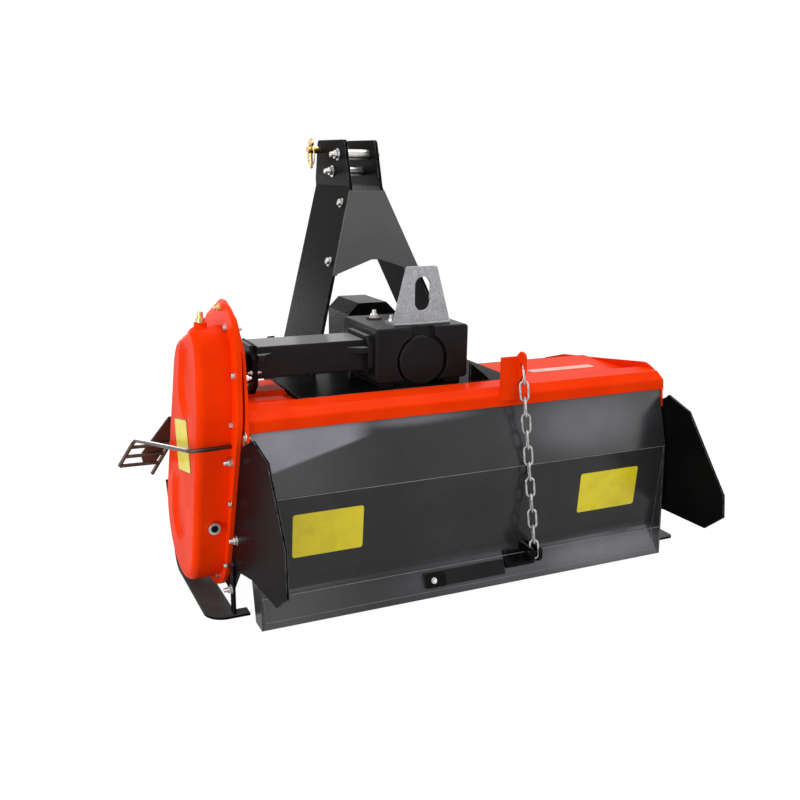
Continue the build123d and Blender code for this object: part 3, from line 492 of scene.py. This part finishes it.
def copies(tree, model, points, rotation):
    # the node that sets a turned copy of a model on each point
    make, link = tree.nodes.new, tree.links.new
    source = make("GeometryNodeObjectInfo")
    link(model, source.inputs["Object"])
    seat = make("GeometryNodeInstanceOnPoints")
    link(points, seat.inputs["Points"])
    link(source.outputs["Geometry"], seat.inputs["Instance"])
    link(rotation, seat.inputs["Rotation"])
    return seat


def fastenerTree():
    tree, given = openTree("seatFasteners", Head="Object", Size="Float")
    aim = tree.nodes.new("GeometryNodeInputNamedAttribute")
    aim.data_type = "FLOAT_VECTOR"
    aim.inputs["Name"].default_value = "aim"
    chance = tree.nodes.new("FunctionNodeRandomValue")
    chance.inputs[3].default_value = fastener["turn"]
    chance.inputs["Seed"].default_value = fastener["turnSeed"]
    rotation = pointed(tree, aim.outputs["Attribute"], chance.outputs[1])
    seat = copies(tree, given["Head"], given["Geometry"], rotation)
    tree.links.new(given["Size"], seat.inputs["Scale"])
    return closeTree(tree, given, seat.outputs[0])


def ranTree(name, mesh, tree, settings, finish, body):
    # runs a node tree on a mesh and keeps its result as a plain mesh
    carrier = bpy.data.objects.new(name + "Carrier", mesh)
    bpy.context.scene.collection.objects.link(carrier)
    modifier = carrier.modifiers.new("tree", "NODES")
    modifier.node_group = tree
    names = {item.name: item.identifier for item in tree.interface.items_tree if item.in_out == "INPUT"}
    for key, value in settings.items():
        modifier[names[key]] = value
    carrier.update_tag()
    bpy.context.view_layer.update()
    ready = carrier.evaluated_get(bpy.context.evaluated_depsgraph_get())
    result = bpy.data.meshes.new_from_object(ready)
    result.name = name
    bpy.data.objects.remove(carrier)
    return newPiece(name, result, finish, body)


seats = fastenerTree()
hexHead = pattern("hexHeadPattern", boltHead(False))
nutStud = pattern("nutStudPattern", boltHead(True))


def seatRow(name, seen, head, size, body, finish=zinc):
    # a fastener on each place seen, along the face's normal there
    mesh = bpy.data.meshes.new(name + "Points")
    mesh.from_pydata([tuple(spot) for spot, _ in seen], [], [])
    aims = mesh.attributes.new("aim", "FLOAT_VECTOR", "POINT")
    for item, (_, normal) in zip(aims.data, seen):
        item.vector = tuple(normal)
    settings = {"Head": head, "Size": size, "Finish": finish}
    ranTree(name, mesh, seats, settings, finish, body)


# bolts round the chain case's flange
caseBolts = {
    "edge": (  # y and z of a middle, and the angles from it at which bolts stand near the edge
        (-0.0885, 0.505, (20,)), (0.0435, 0.178, (292, 322, 352, 18)),
        (0.0, 0.43, (0,)), (0.0, 0.345, (0,)), (0.0, 0.265, (0,)),
    ),
    "top": ((-0.0885, 0.505, (98,)),),
    "far": 0.6,  # how far from those middles the rays start
    "inset": 0.0105,
    "rear": (  # y and z
        (-0.155, 0.645), (-0.206, 0.5575), (-0.179, 0.450),
        (-0.1505, 0.271), (-0.0955, 0.110), (-0.024, 0.0565),
    ),
    "size": 0.0088,
}
caseLow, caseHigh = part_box("chain_case_back")


def edgeSpots(middles):
    spots = []
    for y, z, angles in middles:
        for angle in angles:
            outward = Vector((0, math.cos(math.radians(angle)), math.sin(math.radians(angle))))
            start = Vector(((caseLow[0] + caseHigh[0]) / 2, y, z)) + outward * caseBolts["far"]
            edge, _ = touch("chain_case_back", start, -outward)
            spot = edge - outward * caseBolts["inset"]
            spots.append((spot.y, spot.z))
    return spots


def onCase(spots):
    return [touch("chain_case_back", (caseLow[0] - clear, y, z), (1, 0, 0)) for y, z in spots]


flangeSpots = onCase((*edgeSpots(caseBolts["edge"]), *caseBolts["rear"]))
seatRow("caseBolts", flangeSpots, hexHead, caseBolts["size"], "frame")
topSpots = onCase(edgeSpots(caseBolts["top"]))
seatRow("caseTopBolt", topSpots, nutStud, caseBolts["size"], "frame", finish=brass)


# single bolts, each where a ray meets its node
def across(name, side, y, z):
    # a place on one face of an upright plate: side is 1 for its right face, -1 for its left one
    reach = 0.12
    return touch(name, (middle(name).x + reach * side, y, z), (-side, 0, 0))


def down(name, x, y):
    return touch(name, (x, y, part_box(name)[1][2] + clear), (0, 0, -1))


tubeFlange = {
    "sides": ((-0.335, -1), (-0.460, 1)),  # x where a ray starts, and which way it goes
    "places": ((-0.0652, 0.5275), (0.0472, 0.5275), (-0.034, 0.4935), (0.016, 0.4935)),
    "boltSize": 0.0062,
}
tubeSpots = [
    touch("axle_tube_flange", (x, y, z), (way, 0, 0))
    for y, z in tubeFlange["places"] for x, way in tubeFlange["sides"]
]
seatRow("tubeFlangeBolts", tubeSpots, nutStud, tubeFlange["boltSize"], "frame")

sidePlate = {"places": ((-0.150, 0.640), (-0.214, 0.552), (-0.03, 0.664)), "boltSize": 0.0085}
earSpots = [across("left_side_plate", 1, y, z) for y, z in sidePlate["places"]]
seatRow("sidePlateBolts", earSpots, nutStud, sidePlate["boltSize"], "frame")

flap = {
    "places": ((-0.153, 0.188), (0.205, 0.330), (0.200, 0.160)),
    "skidPlaces": ((-0.119, 0.062), (0.215, 0.112)),
    "guardPlace": (-0.167, 0.367),  # the nut at the side guard's rear end
    "boltSize": 0.0120,
}
flapSpots = [across("right_side_flap", 1, y, z) for y, z in flap["places"]]
flapSpots += [across("left_side_flap", -1, y, z) for y, z in flap["places"]]
for name, side in (("left_skid", -1), ("right_skid", 1)):
    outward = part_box(name)[0][0] if side < 0 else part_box(name)[1][0]
    start = outward + clear * side
    flapSpots += [touch(name, (start, y, z), (-side, 0, 0)) for y, z in flap["skidPlaces"]]
flapSpots += onCase((flap["guardPlace"],))
seatRow("flapBolts", flapSpots, nutStud, flap["boltSize"], "frame")

mast = {
    "legs": (("mast_left_leg", -1), ("mast_right_leg", 1)),
    "start": 0.3,  # x, right and left, of a place outside both legs
    "rearRadius": 0.013, "frontRadius": 0.011, "spacerBoltSize": 0.0155,
    "coverPlaces": ((0.262, 0.868), (0.214, 0.728)), "coverBoltSize": 0.0125,
}
spacerLow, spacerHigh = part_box("mast_spacers")
spacerPlaces = (
    (spacerLow[1] + mast["rearRadius"], spacerHigh[2] - mast["rearRadius"]),
    (spacerHigh[1] - mast["frontRadius"], spacerLow[2] + mast["frontRadius"]),
)


def onLegs(places):
    # places on the outer faces of both legs
    looks = [(name, side, y, z) for y, z in places for name, side in mast["legs"]]
    return [touch(name, (mast["start"] * side, y, z), (-side, 0, 0)) for name, side, y, z in looks]


seatRow("spacerBolts", onLegs(spacerPlaces), nutStud, mast["spacerBoltSize"], "frame")
seatRow("mastCoverBolts", onLegs(mast["coverPlaces"]), hexHead, mast["coverBoltSize"], "frame")

lug = {"places": ((-0.102, -0.043), (0.024, -0.043)), "boltSize": 0.0100}
lugSpots = [down("lifting_lug", x, y) for x, y in lug["places"]]
seatRow("lugBolts", lugSpots, nutStud, lug["boltSize"], "frame")

filler = {
    "place": (-0.1075, 0.042), "plugSize": 0.0125,
    "rings": ((0.019, 0.0, True), (0.017, 0.004, True)),  # the seat under the plug
}
upright = Vector((0, 0, 1))
fillerSeat, _ = down("gearbox_housing", *filler["place"])
fillerTop = fillerSeat + upright * filler["rings"][-1][1]
seatRow("fillerPlug", [(fillerTop, upright)], nutStud, filler["plugSize"], "frame")
print("fasteners on the case, plates, mast and gearbox")

bearing = {"reach": 0.060, "boltSize": 0.0105}
rightOutside = 0.8  # x of a place to the right of everything
bearingMid = middle("rotor_bearing")
bearingSpots = []
for angle in range(45, 360, 90):
    y = bearingMid.y + bearing["reach"] * math.cos(math.radians(angle))
    z = bearingMid.z + bearing["reach"] * math.sin(math.radians(angle))
    bearingSpots.append(touch("rotor_bearing", (rightOutside, y, z), (-1, 0, 0)))
seatRow("bearingBolts", bearingSpots, hexHead, bearing["boltSize"], "frame")

strapBlock = {
    "in": 0.024, "thick": 0.006, "size": (0.046, 0.031),
    "screw": Vector((-0.006, 0, 0)), "screwSize": 0.0072,
}
strapLow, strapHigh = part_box("board_strap")
strapStart = (strapLow[0] + strapBlock["in"], strapLow[1] - clear, (strapLow[2] + strapHigh[2]) / 2)
strapFace, strapOut = touch("board_strap", strapStart, (0, 1, 0))
screwPlace = strapFace + strapOut * strapBlock["thick"] + strapBlock["screw"]
seatRow("strapScrew", [(screwPlace, strapOut)], hexHead, strapBlock["screwSize"], "board")


# tine bolts: two on the leg of each tine
tineBolts = {
    "radius": 0.058, "spread": 15, "rings": 6, "tines": 4, "twist": 15, "size": 0.0085,
    "start": 0.09,  # how far beside a ring's middle the rays start
}


def tineSpots():
    spots = []
    axle = middle("rotor_tube")
    for ring in range(tineBolts["rings"]):
        name = f"tine_ring_{ring + 1}"
        mid = middle(name).x
        for tine in range(tineBolts["tines"]):
            side = -1 if tine % 2 else 1
            turn = tine * 360 / tineBolts["tines"] + ring * tineBolts["twist"]
            for lean in (-tineBolts["spread"], tineBolts["spread"]):
                angle = math.radians(turn + lean)
                y = axle.y - tineBolts["radius"] * math.sin(angle)
                z = axle.z + tineBolts["radius"] * math.cos(angle)
                spots.append(touch(name, (mid + tineBolts["start"] * side, y, z), (-side, 0, 0)))
    return spots


seatRow("tineBolts", tineSpots(), nutStud, tineBolts["size"], "rotor")

# the board's chain: round links, each square to the next
chain = {
    "wire": 0.0030, "bow": 0.0090, "straight": 0.0255, "pitch": 0.0371, "count": 12,
    "upper": (0.0035, 0.012),  # x and y in from the bracket's rear right corner
    "lower": (0.022, 0.011),  # x and y in from the eye plate's rear right corner
    "belowHinge": 0.015,  # a distance below the hinge rod
}


def linkMesh():
    work = bmesh.new()
    around, arc = 12, 10
    half = chain["straight"] / 2
    course = []
    for end in (1, -1):
        for step in range(arc + 1):
            angle = math.pi * step / arc + (0 if end == 1 else math.pi)
            outX, outZ = math.cos(angle), math.sin(angle)
            course.append((chain["bow"] * outX, chain["bow"] * outZ + end * half, outX, outZ))
    loops = []
    for x, z, outX, outZ in course:
        loop = []
        for step in range(around):
            turn = 2 * math.pi * step / around
            out = chain["wire"] * math.cos(turn)
            loop.append(work.verts.new((x + out * outX, chain["wire"] * math.sin(turn), z + out * outZ)))
        loops.append(loop)
    for index, loop in enumerate(loops):
        following = loops[(index + 1) % len(loops)]
        for step in range(around):
            after = (step + 1) % around
            work.faces.new((loop[step], following[step], following[after], loop[after]))
    bmesh.ops.recalc_face_normals(work, faces=work.faces)
    mesh = meshFrom("linkPattern", work)
    smooth(mesh, 60)
    return mesh


def chainTree():
    tree, given = openTree("hangLinks", Link="Object", Count="Int", Start="Vector", Step="Vector")
    make, link = tree.nodes.new, tree.links.new
    line = make("GeometryNodeMeshLine")
    link(given["Count"], line.inputs["Count"])
    link(given["Start"], line.inputs["Start Location"])
    link(given["Step"], line.inputs["Offset"])
    index = make("GeometryNodeInputIndex")
    odd = make("ShaderNodeMath")
    odd.operation = "MODULO"
    odd.inputs[1].default_value = 2
    link(index.outputs[0], odd.inputs[0])
    quarter = make("ShaderNodeMath")
    quarter.operation = "MULTIPLY"
    quarter.inputs[1].default_value = math.pi / 2
    link(odd.outputs[0], quarter.inputs[0])
    rotation = pointed(tree, given["Step"], quarter.outputs[0])
    hang = copies(tree, given["Link"], line.outputs[0], rotation)
    return closeTree(tree, given, hang.outputs[0])


bracketLow, bracketHigh = (Vector(corner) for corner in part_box("chain_bracket"))
anchorLow, anchorHigh = (Vector(corner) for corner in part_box("chain_anchor"))
chainLow, chainHigh = (Vector(corner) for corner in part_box("board_chain"))
upperIn, lowerIn = chain["upper"], chain["lower"]
hole = Vector((bracketHigh.x - upperIn[0], bracketLow.y + upperIn[1], chainHigh.z - chain["wire"]))
foot = Vector((anchorHigh.x - lowerIn[0], anchorLow.y + lowerIn[1], chainLow.z + chain["wire"]))
run = (foot - hole).normalized()
firstLink = hole + run * (chain["straight"] / 2 + chain["bow"])
linkPattern = pattern("linkPatternCarrier", linkMesh())
chainSettings = {
    "Link": linkPattern, "Count": chain["count"],
    "Start": tuple(firstLink), "Step": tuple(run * chain["pitch"]), "Finish": chainSteel,
}
chainStart = bpy.data.meshes.new("chainStart")
links = ranTree("boardChain", chainStart, chainTree(), chainSettings, chainSteel, None)
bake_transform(links)
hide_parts("board_chain")
print("chain hung:", chain["count"], "links")

hexEnd = pattern("hexEndPattern", hexHead.data.copy())
for spare in (hexHead, nutStud, linkPattern):
    bpy.data.objects.remove(spare)


# blank plates on the board, the case and the hood
def roundedPlate(name, centre, right, up, out, size, finish, body, corner=0.006, thick=0.0007):
    width, height = size
    work = bmesh.new()
    outline = []
    arc = 4
    for quarter, (sx, sy) in enumerate(((1, 1), (-1, 1), (-1, -1), (1, -1))):
        for step in range(arc + 1):
            angle = math.pi / 2 * (quarter + step / arc)
            x = sx * (width / 2 - corner) + corner * math.cos(angle)
            y = sy * (height / 2 - corner) + corner * math.sin(angle)
            outline.append(centre + right * x + up * y)
    lower = [work.verts.new(point) for point in outline]
    upper = [work.verts.new(point + out * thick) for point in outline]
    work.faces.new(upper)
    work.faces.new(list(reversed(lower)))
    for step in range(len(lower)):
        after = (step + 1) % len(lower)
        work.faces.new((lower[step], lower[after], upper[after], upper[step]))
    bmesh.ops.recalc_face_normals(work, faces=work.faces)
    newPiece(name, meshFrom(name, work), finish, body)


plateRims = {"width": 0.0015, "lift": 0.0002, "thick": 0.0004, "plateLift": 0.0004}


def layPlate(name, node, centre, size, lean, body, slotName, aim):
    # a thin yellow plate in a dark rim, where a ray along aim meets the node
    aim = Vector(aim)
    spot, normal = touch(node, Vector(centre) - aim * (2 * clear), aim)
    out = normal if normal.dot(aim) < 0 else -normal
    side = out.cross(upright).normalized() * -1
    up = out.cross(side).normalized()
    if up.z < 0:
        up = -up
    turn = Matrix.Rotation(math.radians(lean), 3, out)
    side, up = turn @ side, turn @ up
    rimSize = [length + 2 * plateRims["width"] for length in size]
    roundedPlate(
        name + "Rim", spot + out * plateRims["lift"], side, up, out, rimSize, plateRim, body,
        thick=plateRims["thick"],
    )
    roundedPlate(name, spot + out * plateRims["plateLift"], side, up, out, size, yellow, body)


onBoardBack = ("board", "grey_paint", (0, 1, 0))  # body, slot and the ray's direction
onCaseSide = ("frame", "orange_paint", (1, 0, 0))
plates = {  # node, a point near it, width and height, lean in degrees, then the three above
    "boardPlateLeft": ("rear_board", (-0.335, -0.27, 0.217), (0.158, 0.098), 0, *onBoardBack),
    "boardPlateRight": ("rear_board", (0.383, -0.27, 0.212), (0.166, 0.100), 0, *onBoardBack),
    "casePlate": ("chain_case_cover", (-0.635, -0.026, 0.372), (0.118, 0.112), 12, *onCaseSide),
}
for name, facts in plates.items():
    layPlate(name, *facts)
hoodStrip = {"place": (0.388, -0.020), "size": (0.190, 0.030), "lift": 0.0002}
hoodSpot, _ = down("hood", *hoodStrip["place"])
roundedPlate(
    "hoodStrip", hoodSpot + upright * hoodStrip["lift"], Vector((1, 0, 0)), Vector((0, 1, 0)), upright,
    hoodStrip["size"], palePlate, "frame",
)
strapUp = strapOut.cross(Vector((1, 0, 0)))
strapUp = strapUp if strapUp.z > 0 else -strapUp
roundedPlate(
    "strapBlock", strapFace, Vector((1, 0, 0)), strapUp, strapOut, strapBlock["size"], rubber, "board",
    thick=strapBlock["thick"],
)
print("plates laid")


# discs, balls and washers that close small ends
def disc(name, place, axis, rings, finish, body, sides=24):
    # rings: radius, height along the axis and whether that ring is a hexagon
    work = bmesh.new()
    turned(work, rings, sides)
    turn = Vector(axis).to_track_quat("Z", "Y").to_matrix().to_4x4()
    bmesh.ops.transform(work, matrix=Matrix.Translation(place) @ turn, verts=work.verts)
    piece = newPiece(name, meshFrom(name, work), finish, body)
    smooth(piece.data, 40)


def ball(radius):
    turns = 8
    angles = [math.pi * (step + 0.5) / turns for step in range(turns)]
    return [(radius * math.sin(angle), -radius * math.cos(angle), False) for angle in angles]


disc("fillerSeat", fillerSeat, (0, 0, 1), filler["rings"], casting, "frame")

plug = {"ringRadius": 0.0130, "ringDepth": 0.0022, "eyeRadius": 0.0076, "eyeDepth": 0.0008}
plugMid = middle("level_plug")
plugFace, _ = touch("level_plug", (plugMid.x, plugMid.y - 2 * clear, plugMid.z), (0, 1, 0))
plugRings = flatDisc(plug["ringRadius"], plug["ringDepth"])
disc("plugRing", plugFace, (0, -1, 0), plugRings, zinc, "frame")
eyeFace = plugFace - Vector((0, plug["ringDepth"], 0))
eyeRings = flatDisc(plug["eyeRadius"], plug["eyeDepth"])
disc("plugEye", eyeFace, (0, -1, 0), eyeRings, rubber, "frame")

hinge = {
    "behind": 0.0175, "above": 0.002, "washerRadius": 0.0115, "washerDepth": 0.0022,
    "clip": Vector((-0.0022, 0.003, -0.017)), "clipSize": (0.013, 0.040),
    "clipCorner": 0.0060, "clipDepth": 0.002, "rodEndSize": 0.0095,
}
rodMid = middle("hinge_rod")
hingeEnd = Vector((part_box("left_side_plate")[0][0], rodMid.y - hinge["behind"], rodMid.z + hinge["above"]))
washerRings = flatDisc(hinge["washerRadius"], hinge["washerDepth"])
disc("hingeWasher", hingeEnd, (-1, 0, 0), washerRings, zinc, "frame")
roundedPlate(
    "hingeClip", hingeEnd + hinge["clip"], Vector((0, 1, 0)), upright, Vector((-1, 0, 0)), hinge["clipSize"],
    zinc, "frame", corner=hinge["clipCorner"], thick=hinge["clipDepth"],
)
rodEnd = touch("hinge_rod", (rightOutside, rodMid.y, rodMid.z), (-1, 0, 0))
seatRow("hingeRodEnd", [rodEnd], hexEnd, hinge["rodEndSize"], "frame")
bpy.data.objects.remove(hexEnd)

linch = {
    "in": 0.010, "ahead": 0.116, "below": 0.0145,  # from the pin's end, the spacers' middle, the pin's top
    "head": 0.0078, "shank": 0.0042, "tip": 0.0030, "tipLength": 0.003,
    "reach": 0.043,  # how far the shank goes below the pin's axis
    "ring": 0.0250, "wire": 0.0017, "points": 40, "ringBelow": 0.0145,
}
pinLow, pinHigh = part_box("top_link_pin")
linchPlace = Vector((
    pinLow[0] + linch["in"], middle("mast_spacers").y + linch["ahead"], pinHigh[2] - linch["below"],
))
disc("linchHead", linchPlace, (0, 0, 1), ball(linch["head"]), brass, "frame", sides=16)
shankRings = flatDisc(linch["shank"], linch["reach"])
shankRings.append((linch["tip"], linch["reach"] + linch["tipLength"], False))
shankTop = Vector((linchPlace.x, linchPlace.y, middle("top_link_pin").z))
disc("linchShank", shankTop, (0, 0, -1), shankRings, brass, "frame", sides=14)
print("ends closed")


# what follows a path: swept lines, among them the painted highlight along the board's folds, rings and weld
# beads
pathShape = {
    "sides": 10,  # of a swept section
    "fineness": 2, "least": 0.82, "most": 1.15, "seed": 11,  # of the beads, and how their size varies
}


def pathTree(name, beads):
    tree, given = openTree(name, Radius="Float", Pitch="Float")
    make, link = tree.nodes.new, tree.links.new
    path = make("GeometryNodeMeshToCurve")
    link(given["Geometry"], path.inputs[0])
    if beads:
        spaced = make("GeometryNodeResampleCurve")
        spaced.mode = "LENGTH"
        link(path.outputs[0], spaced.inputs["Curve"])
        link(given["Pitch"], spaced.inputs["Length"])
        bead = make("GeometryNodeMeshIcoSphere")
        bead.inputs["Subdivisions"].default_value = pathShape["fineness"]
        link(given["Radius"], bead.inputs["Radius"])
        chance = make("FunctionNodeRandomValue")
        chance.inputs[2].default_value = pathShape["least"]
        chance.inputs[3].default_value = pathShape["most"]
        chance.inputs["Seed"].default_value = pathShape["seed"]
        seat = make("GeometryNodeInstanceOnPoints")
        link(spaced.outputs[0], seat.inputs["Points"])
        link(bead.outputs["Mesh"], seat.inputs["Instance"])
        link(chance.outputs[1], seat.inputs["Scale"])
        made = seat.outputs[0]
    else:
        section = make("GeometryNodeCurvePrimitiveCircle")
        section.inputs["Resolution"].default_value = pathShape["sides"]
        link(given["Radius"], section.inputs["Radius"])
        swept = make("GeometryNodeCurveToMesh")
        link(path.outputs[0], swept.inputs["Curve"])
        link(section.outputs[0], swept.inputs["Profile Curve"])
        swept.inputs["Fill Caps"].default_value = True
        made = swept.outputs[0]
    return closeTree(tree, given, made)


seamTree, beadTree = pathTree("sweepSeam", False), pathTree("layBeads", True)


def follow(name, tree, lines, radius, finish, body, pitch=0.0042):
    # lines: each a list of points and whether it closes on itself
    points, edges = [], []
    for line, closed in lines:
        first = len(points)
        points += [tuple(point) for point in line]
        edges += [(first + index, first + index + 1) for index in range(len(line) - 1)]
        if closed:
            edges.append((len(points) - 1, first))
    mesh = bpy.data.meshes.new(name + "Course")
    mesh.from_pydata(points, edges, [])
    settings = {"Radius": radius, "Pitch": pitch, "Finish": finish}
    piece = ranTree(name, mesh, tree, settings, finish, body)
    smooth(piece.data, 60)


ringMid = Vector((linchPlace.x, linchPlace.y, middle("top_link_pin").z - linch["ringBelow"]))
ringCourse = []
for step in range(linch["points"]):
    angle = 2 * math.pi * step / linch["points"]
    ringCourse.append(ringMid + Vector((0, math.cos(angle), math.sin(angle))) * linch["ring"])
follow("linchRing", seamTree, [(ringCourse, True)], linch["wire"], brass, "frame")

boardLow, boardHigh = (Vector(corner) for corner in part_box("rear_board"))


def onBoard(x, z):
    spot, _ = touch("rear_board", (x, boardLow.y - clear, z), (0, 1, 0))
    return spot


# pale lines along the board's folds and round its low panel: painted highlight
boardSeams = {
    "folds": (0.3045, 0.0965), "panel": (0.040, 0.090),  # heights
    "margin": 0.001, "inset": 0.010, "radius": 0.0007,
}
seamLeft, seamRight = boardLow.x + boardSeams["margin"], boardHigh.x - boardSeams["margin"]
foldHighlightLines = [([onBoard(seamLeft, z), onBoard(seamRight, z)], False) for z in boardSeams["folds"]]
panelLeft, panelRight = seamLeft + boardSeams["inset"], seamRight - boardSeams["inset"]
panelLow, panelHigh = boardSeams["panel"]
lowPanel = [(panelLeft, panelHigh), (panelLeft, panelLow), (panelRight, panelLow), (panelRight, panelHigh)]
foldHighlightLines.append(([onBoard(x, z) for x, z in lowPanel], False))
follow("boardSeams", seamTree, foldHighlightLines, boardSeams["radius"], seamLine, "board")

lugLow, lugHigh = (Vector(corner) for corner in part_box("lifting_lug"))
bend = {"radius": 0.0048, "margin": 0.001}  # between the lug and its foot
bendEnds = (lugLow.x + bend["margin"], lugHigh.x - bend["margin"])
bendCourse = [(x, lugLow.y + bend["margin"], lugLow.z + bend["radius"]) for x in bendEnds]
follow("lugBend", seamTree, [(bendCourse, False)], bend["radius"], galvanised, "frame")

# weld beads: where they run, and their radius
weldBeads = {
    "tubeEnds": {"x": (-0.1740, -0.4262), "y": (-0.0590, 0.0410), "z": (0.5110, 0.5820)},
    "saddleEdge": {"x": (0.0750, 0.1270), "y": -0.1065, "z": 0.4725},
    "mastFeet": {"x": (-0.2461, 0.1570), "y": (0.090, 0.300), "z": 0.4725},
    "hitchPlates": {"x": (-0.2816, 0.1925), "y": 0.2915, "z": (0.352, 0.418)},
    "radius": 0.0030,
}
bracketBeads = {
    "sides": {"x": (0.1245, 0.1324), "places": ((-0.223, 0.464), (-0.198, 0.480), (-0.184, 0.480))},
    "rear": {"x": (0.0830, 0.1240), "y": -0.2270, "z": 0.4545},
    "radius": 0.0026,
}
clevisBeads = {
    "x": (0.1015, 0.1795), "upper": (-0.2390, 0.0935), "lower": (-0.2530, 0.0600),  # the last two y and z
    "radius": 0.0030,
}


def rectangle(first, second):
    # corners of a rectangle, in turn
    return [(first[0], second[0]), (first[1], second[0]), (first[1], second[1]), (first[0], second[1])]


seam = weldBeads["tubeEnds"]
blackLines = [([(x, y, z) for y, z in rectangle(seam["y"], seam["z"])], True) for x in seam["x"]]
seam = weldBeads["saddleEdge"]
blackLines.append(([(x, seam["y"], seam["z"]) for x in seam["x"]], False))
seam = weldBeads["mastFeet"]
blackLines += [([(x, y, seam["z"]) for y in seam["y"]], False) for x in seam["x"]]
seam = weldBeads["hitchPlates"]
blackLines += [([(x, seam["y"], z) for z in seam["z"]], False) for x in seam["x"]]
follow("weldBeads", beadTree, blackLines, weldBeads["radius"], black, "frame")

seam = bracketBeads["sides"]
orangeLines = [([(x, y, z) for y, z in seam["places"]], False) for x in seam["x"]]
seam = bracketBeads["rear"]
orangeLines.append(([(x, seam["y"], seam["z"]) for x in seam["x"]], False))
follow("bracketBeads", beadTree, orangeLines, bracketBeads["radius"], orange, "frame")

anchorRim = [(x, *clevisBeads["upper"]) for x in clevisBeads["x"]]
anchorRim += [(x, *clevisBeads["lower"]) for x in reversed(clevisBeads["x"])]
follow("clevisBeads", beadTree, [(anchorRim, True)], clevisBeads["radius"], black, "board")
print("seams and weld beads laid")

# stage, lamps and camera
studio = {
    "floorHalf": 12.0, "glow": 1.16, "floorTone": 0.62, "skyLevel": 0.52,
    "floorSeen": 0.84, "floorMirrored": 0.30,
    "lamps": (  # place, aimed at, width, height, watts
        ((-2.6, -2.2, 3.1), (0.0, 0.0, 0.45), 1.8, 1.6, 24.0),
        ((-2.7, -1.3, 0.45), (-0.60, 0.0, 0.15), 1.3, 0.7, 20.0),
        ((0.32, -3.1, 1.25), (-0.15, -0.2, 0.4), 0.8, 1.5, 8.0),
        ((2.46, -2.7, 1.2), (0.35, -0.2, 0.4), 1.1, 1.3, 11.0),
        ((0.4, 0.6, 3.2), (0.0, 0.0, 0.4), 2.4, 1.6, 48.0),
        ((-3.2, 0.6, 1.2), (-0.5, 0.0, 0.4), 1.2, 1.8, 14.0),
        ((-0.4, 3.4, 0.45), (0.0, 0.3, 0.35), 1.3, 0.7, 22.0),
    ),
}


def rayKinds(finish, direct, reflected):
    # how much of the glow each kind of ray sees
    seen = finish.node("LightPath", {}, {}, "Is Camera Ray") * direct
    for kind in ("Is Glossy Ray", "Is Transmission Ray"):
        mirrored = finish.node("LightPath", {}, {}, kind) * reflected
        seen = finish.node("Math", {"operation": "MAXIMUM"}, {0: seen, 1: mirrored})
    return seen


def layFloor():
    half = studio["floorHalf"]
    mesh = bpy.data.meshes.new("floor")
    corners = [(x, y, 0) for x, y in rectangle((-half, half), (-half, half))]
    mesh.from_pydata(corners, [], [(0, 1, 2, 3)])
    floor = bpy.data.objects.new("floor", mesh)
    bpy.context.scene.collection.objects.link(floor)
    finish = Finish("paleFloor")
    tone = studio["floorTone"]
    ground = finish.node("BsdfDiffuse", {}, {"Color": (tone, tone, tone)})
    glow = finish.node("Emission", {}, {"Color": (1.0, 1.0, 1.0), "Strength": studio["glow"]})
    level = rayKinds(finish, studio["floorSeen"], studio["floorMirrored"])
    mixed = finish.node("MixShader", {}, {0: level, 1: ground, 2: glow})
    finish.node("OutputMaterial", {}, {"Surface": mixed})
    mesh.materials.append(finish.owner)


def setSky():
    finish = Finish("studio", "worlds")
    bpy.context.scene.world = finish.owner
    plain = finish.node("Background", {}, {"Color": (1, 1, 1), "Strength": studio["skyLevel"]})
    bright = finish.node("Background", {}, {"Color": (1, 1, 1)})
    mixed = finish.node("MixShader", {}, {0: rayKinds(finish, 1, 1), 1: plain, 2: bright})
    finish.node("OutputWorld", {}, {"Surface": mixed})


def hangLamps():
    for index, (place, aim, width, height, watts) in enumerate(studio["lamps"]):
        light = bpy.data.lights.new(f"softbox{index + 1}", "AREA")
        light.shape = "RECTANGLE"
        light.size, light.size_y, light.energy = width, height, watts
        lamp = bpy.data.objects.new(light.name, light)
        lamp.location = place
        lamp.rotation_euler = (Vector(place) - Vector(aim)).to_track_quat("Z", "Y").to_euler()
        bpy.context.scene.collection.objects.link(lamp)


view = {
    "place": (-0.99378, -1.99606, 0.97593), "heading": -25.154, "tilt": -14.234, "roll": 0.803,
    "lens": 42.70, "sensor": 36,
}


def setCamera():
    lens = bpy.data.cameras.new("camera")
    lens.lens = view["lens"]
    lens.sensor_width = view["sensor"]
    camera = bpy.data.objects.new("camera", lens)
    turn = (
        Matrix.Rotation(math.radians(view["heading"]), 4, "Z")
        @ Matrix.Rotation(math.radians(90 + view["tilt"]), 4, "X")
        @ Matrix.Rotation(math.radians(view["roll"]), 4, "Z")
    )
    camera.matrix_world = Matrix.Translation(view["place"]) @ turn
    bpy.context.scene.collection.objects.link(camera)
    bpy.context.scene.camera = camera


layFloor()
setSky()
hangLamps()
setCamera()
bpy.context.scene.view_settings.view_transform = "Standard"
print("stage set")
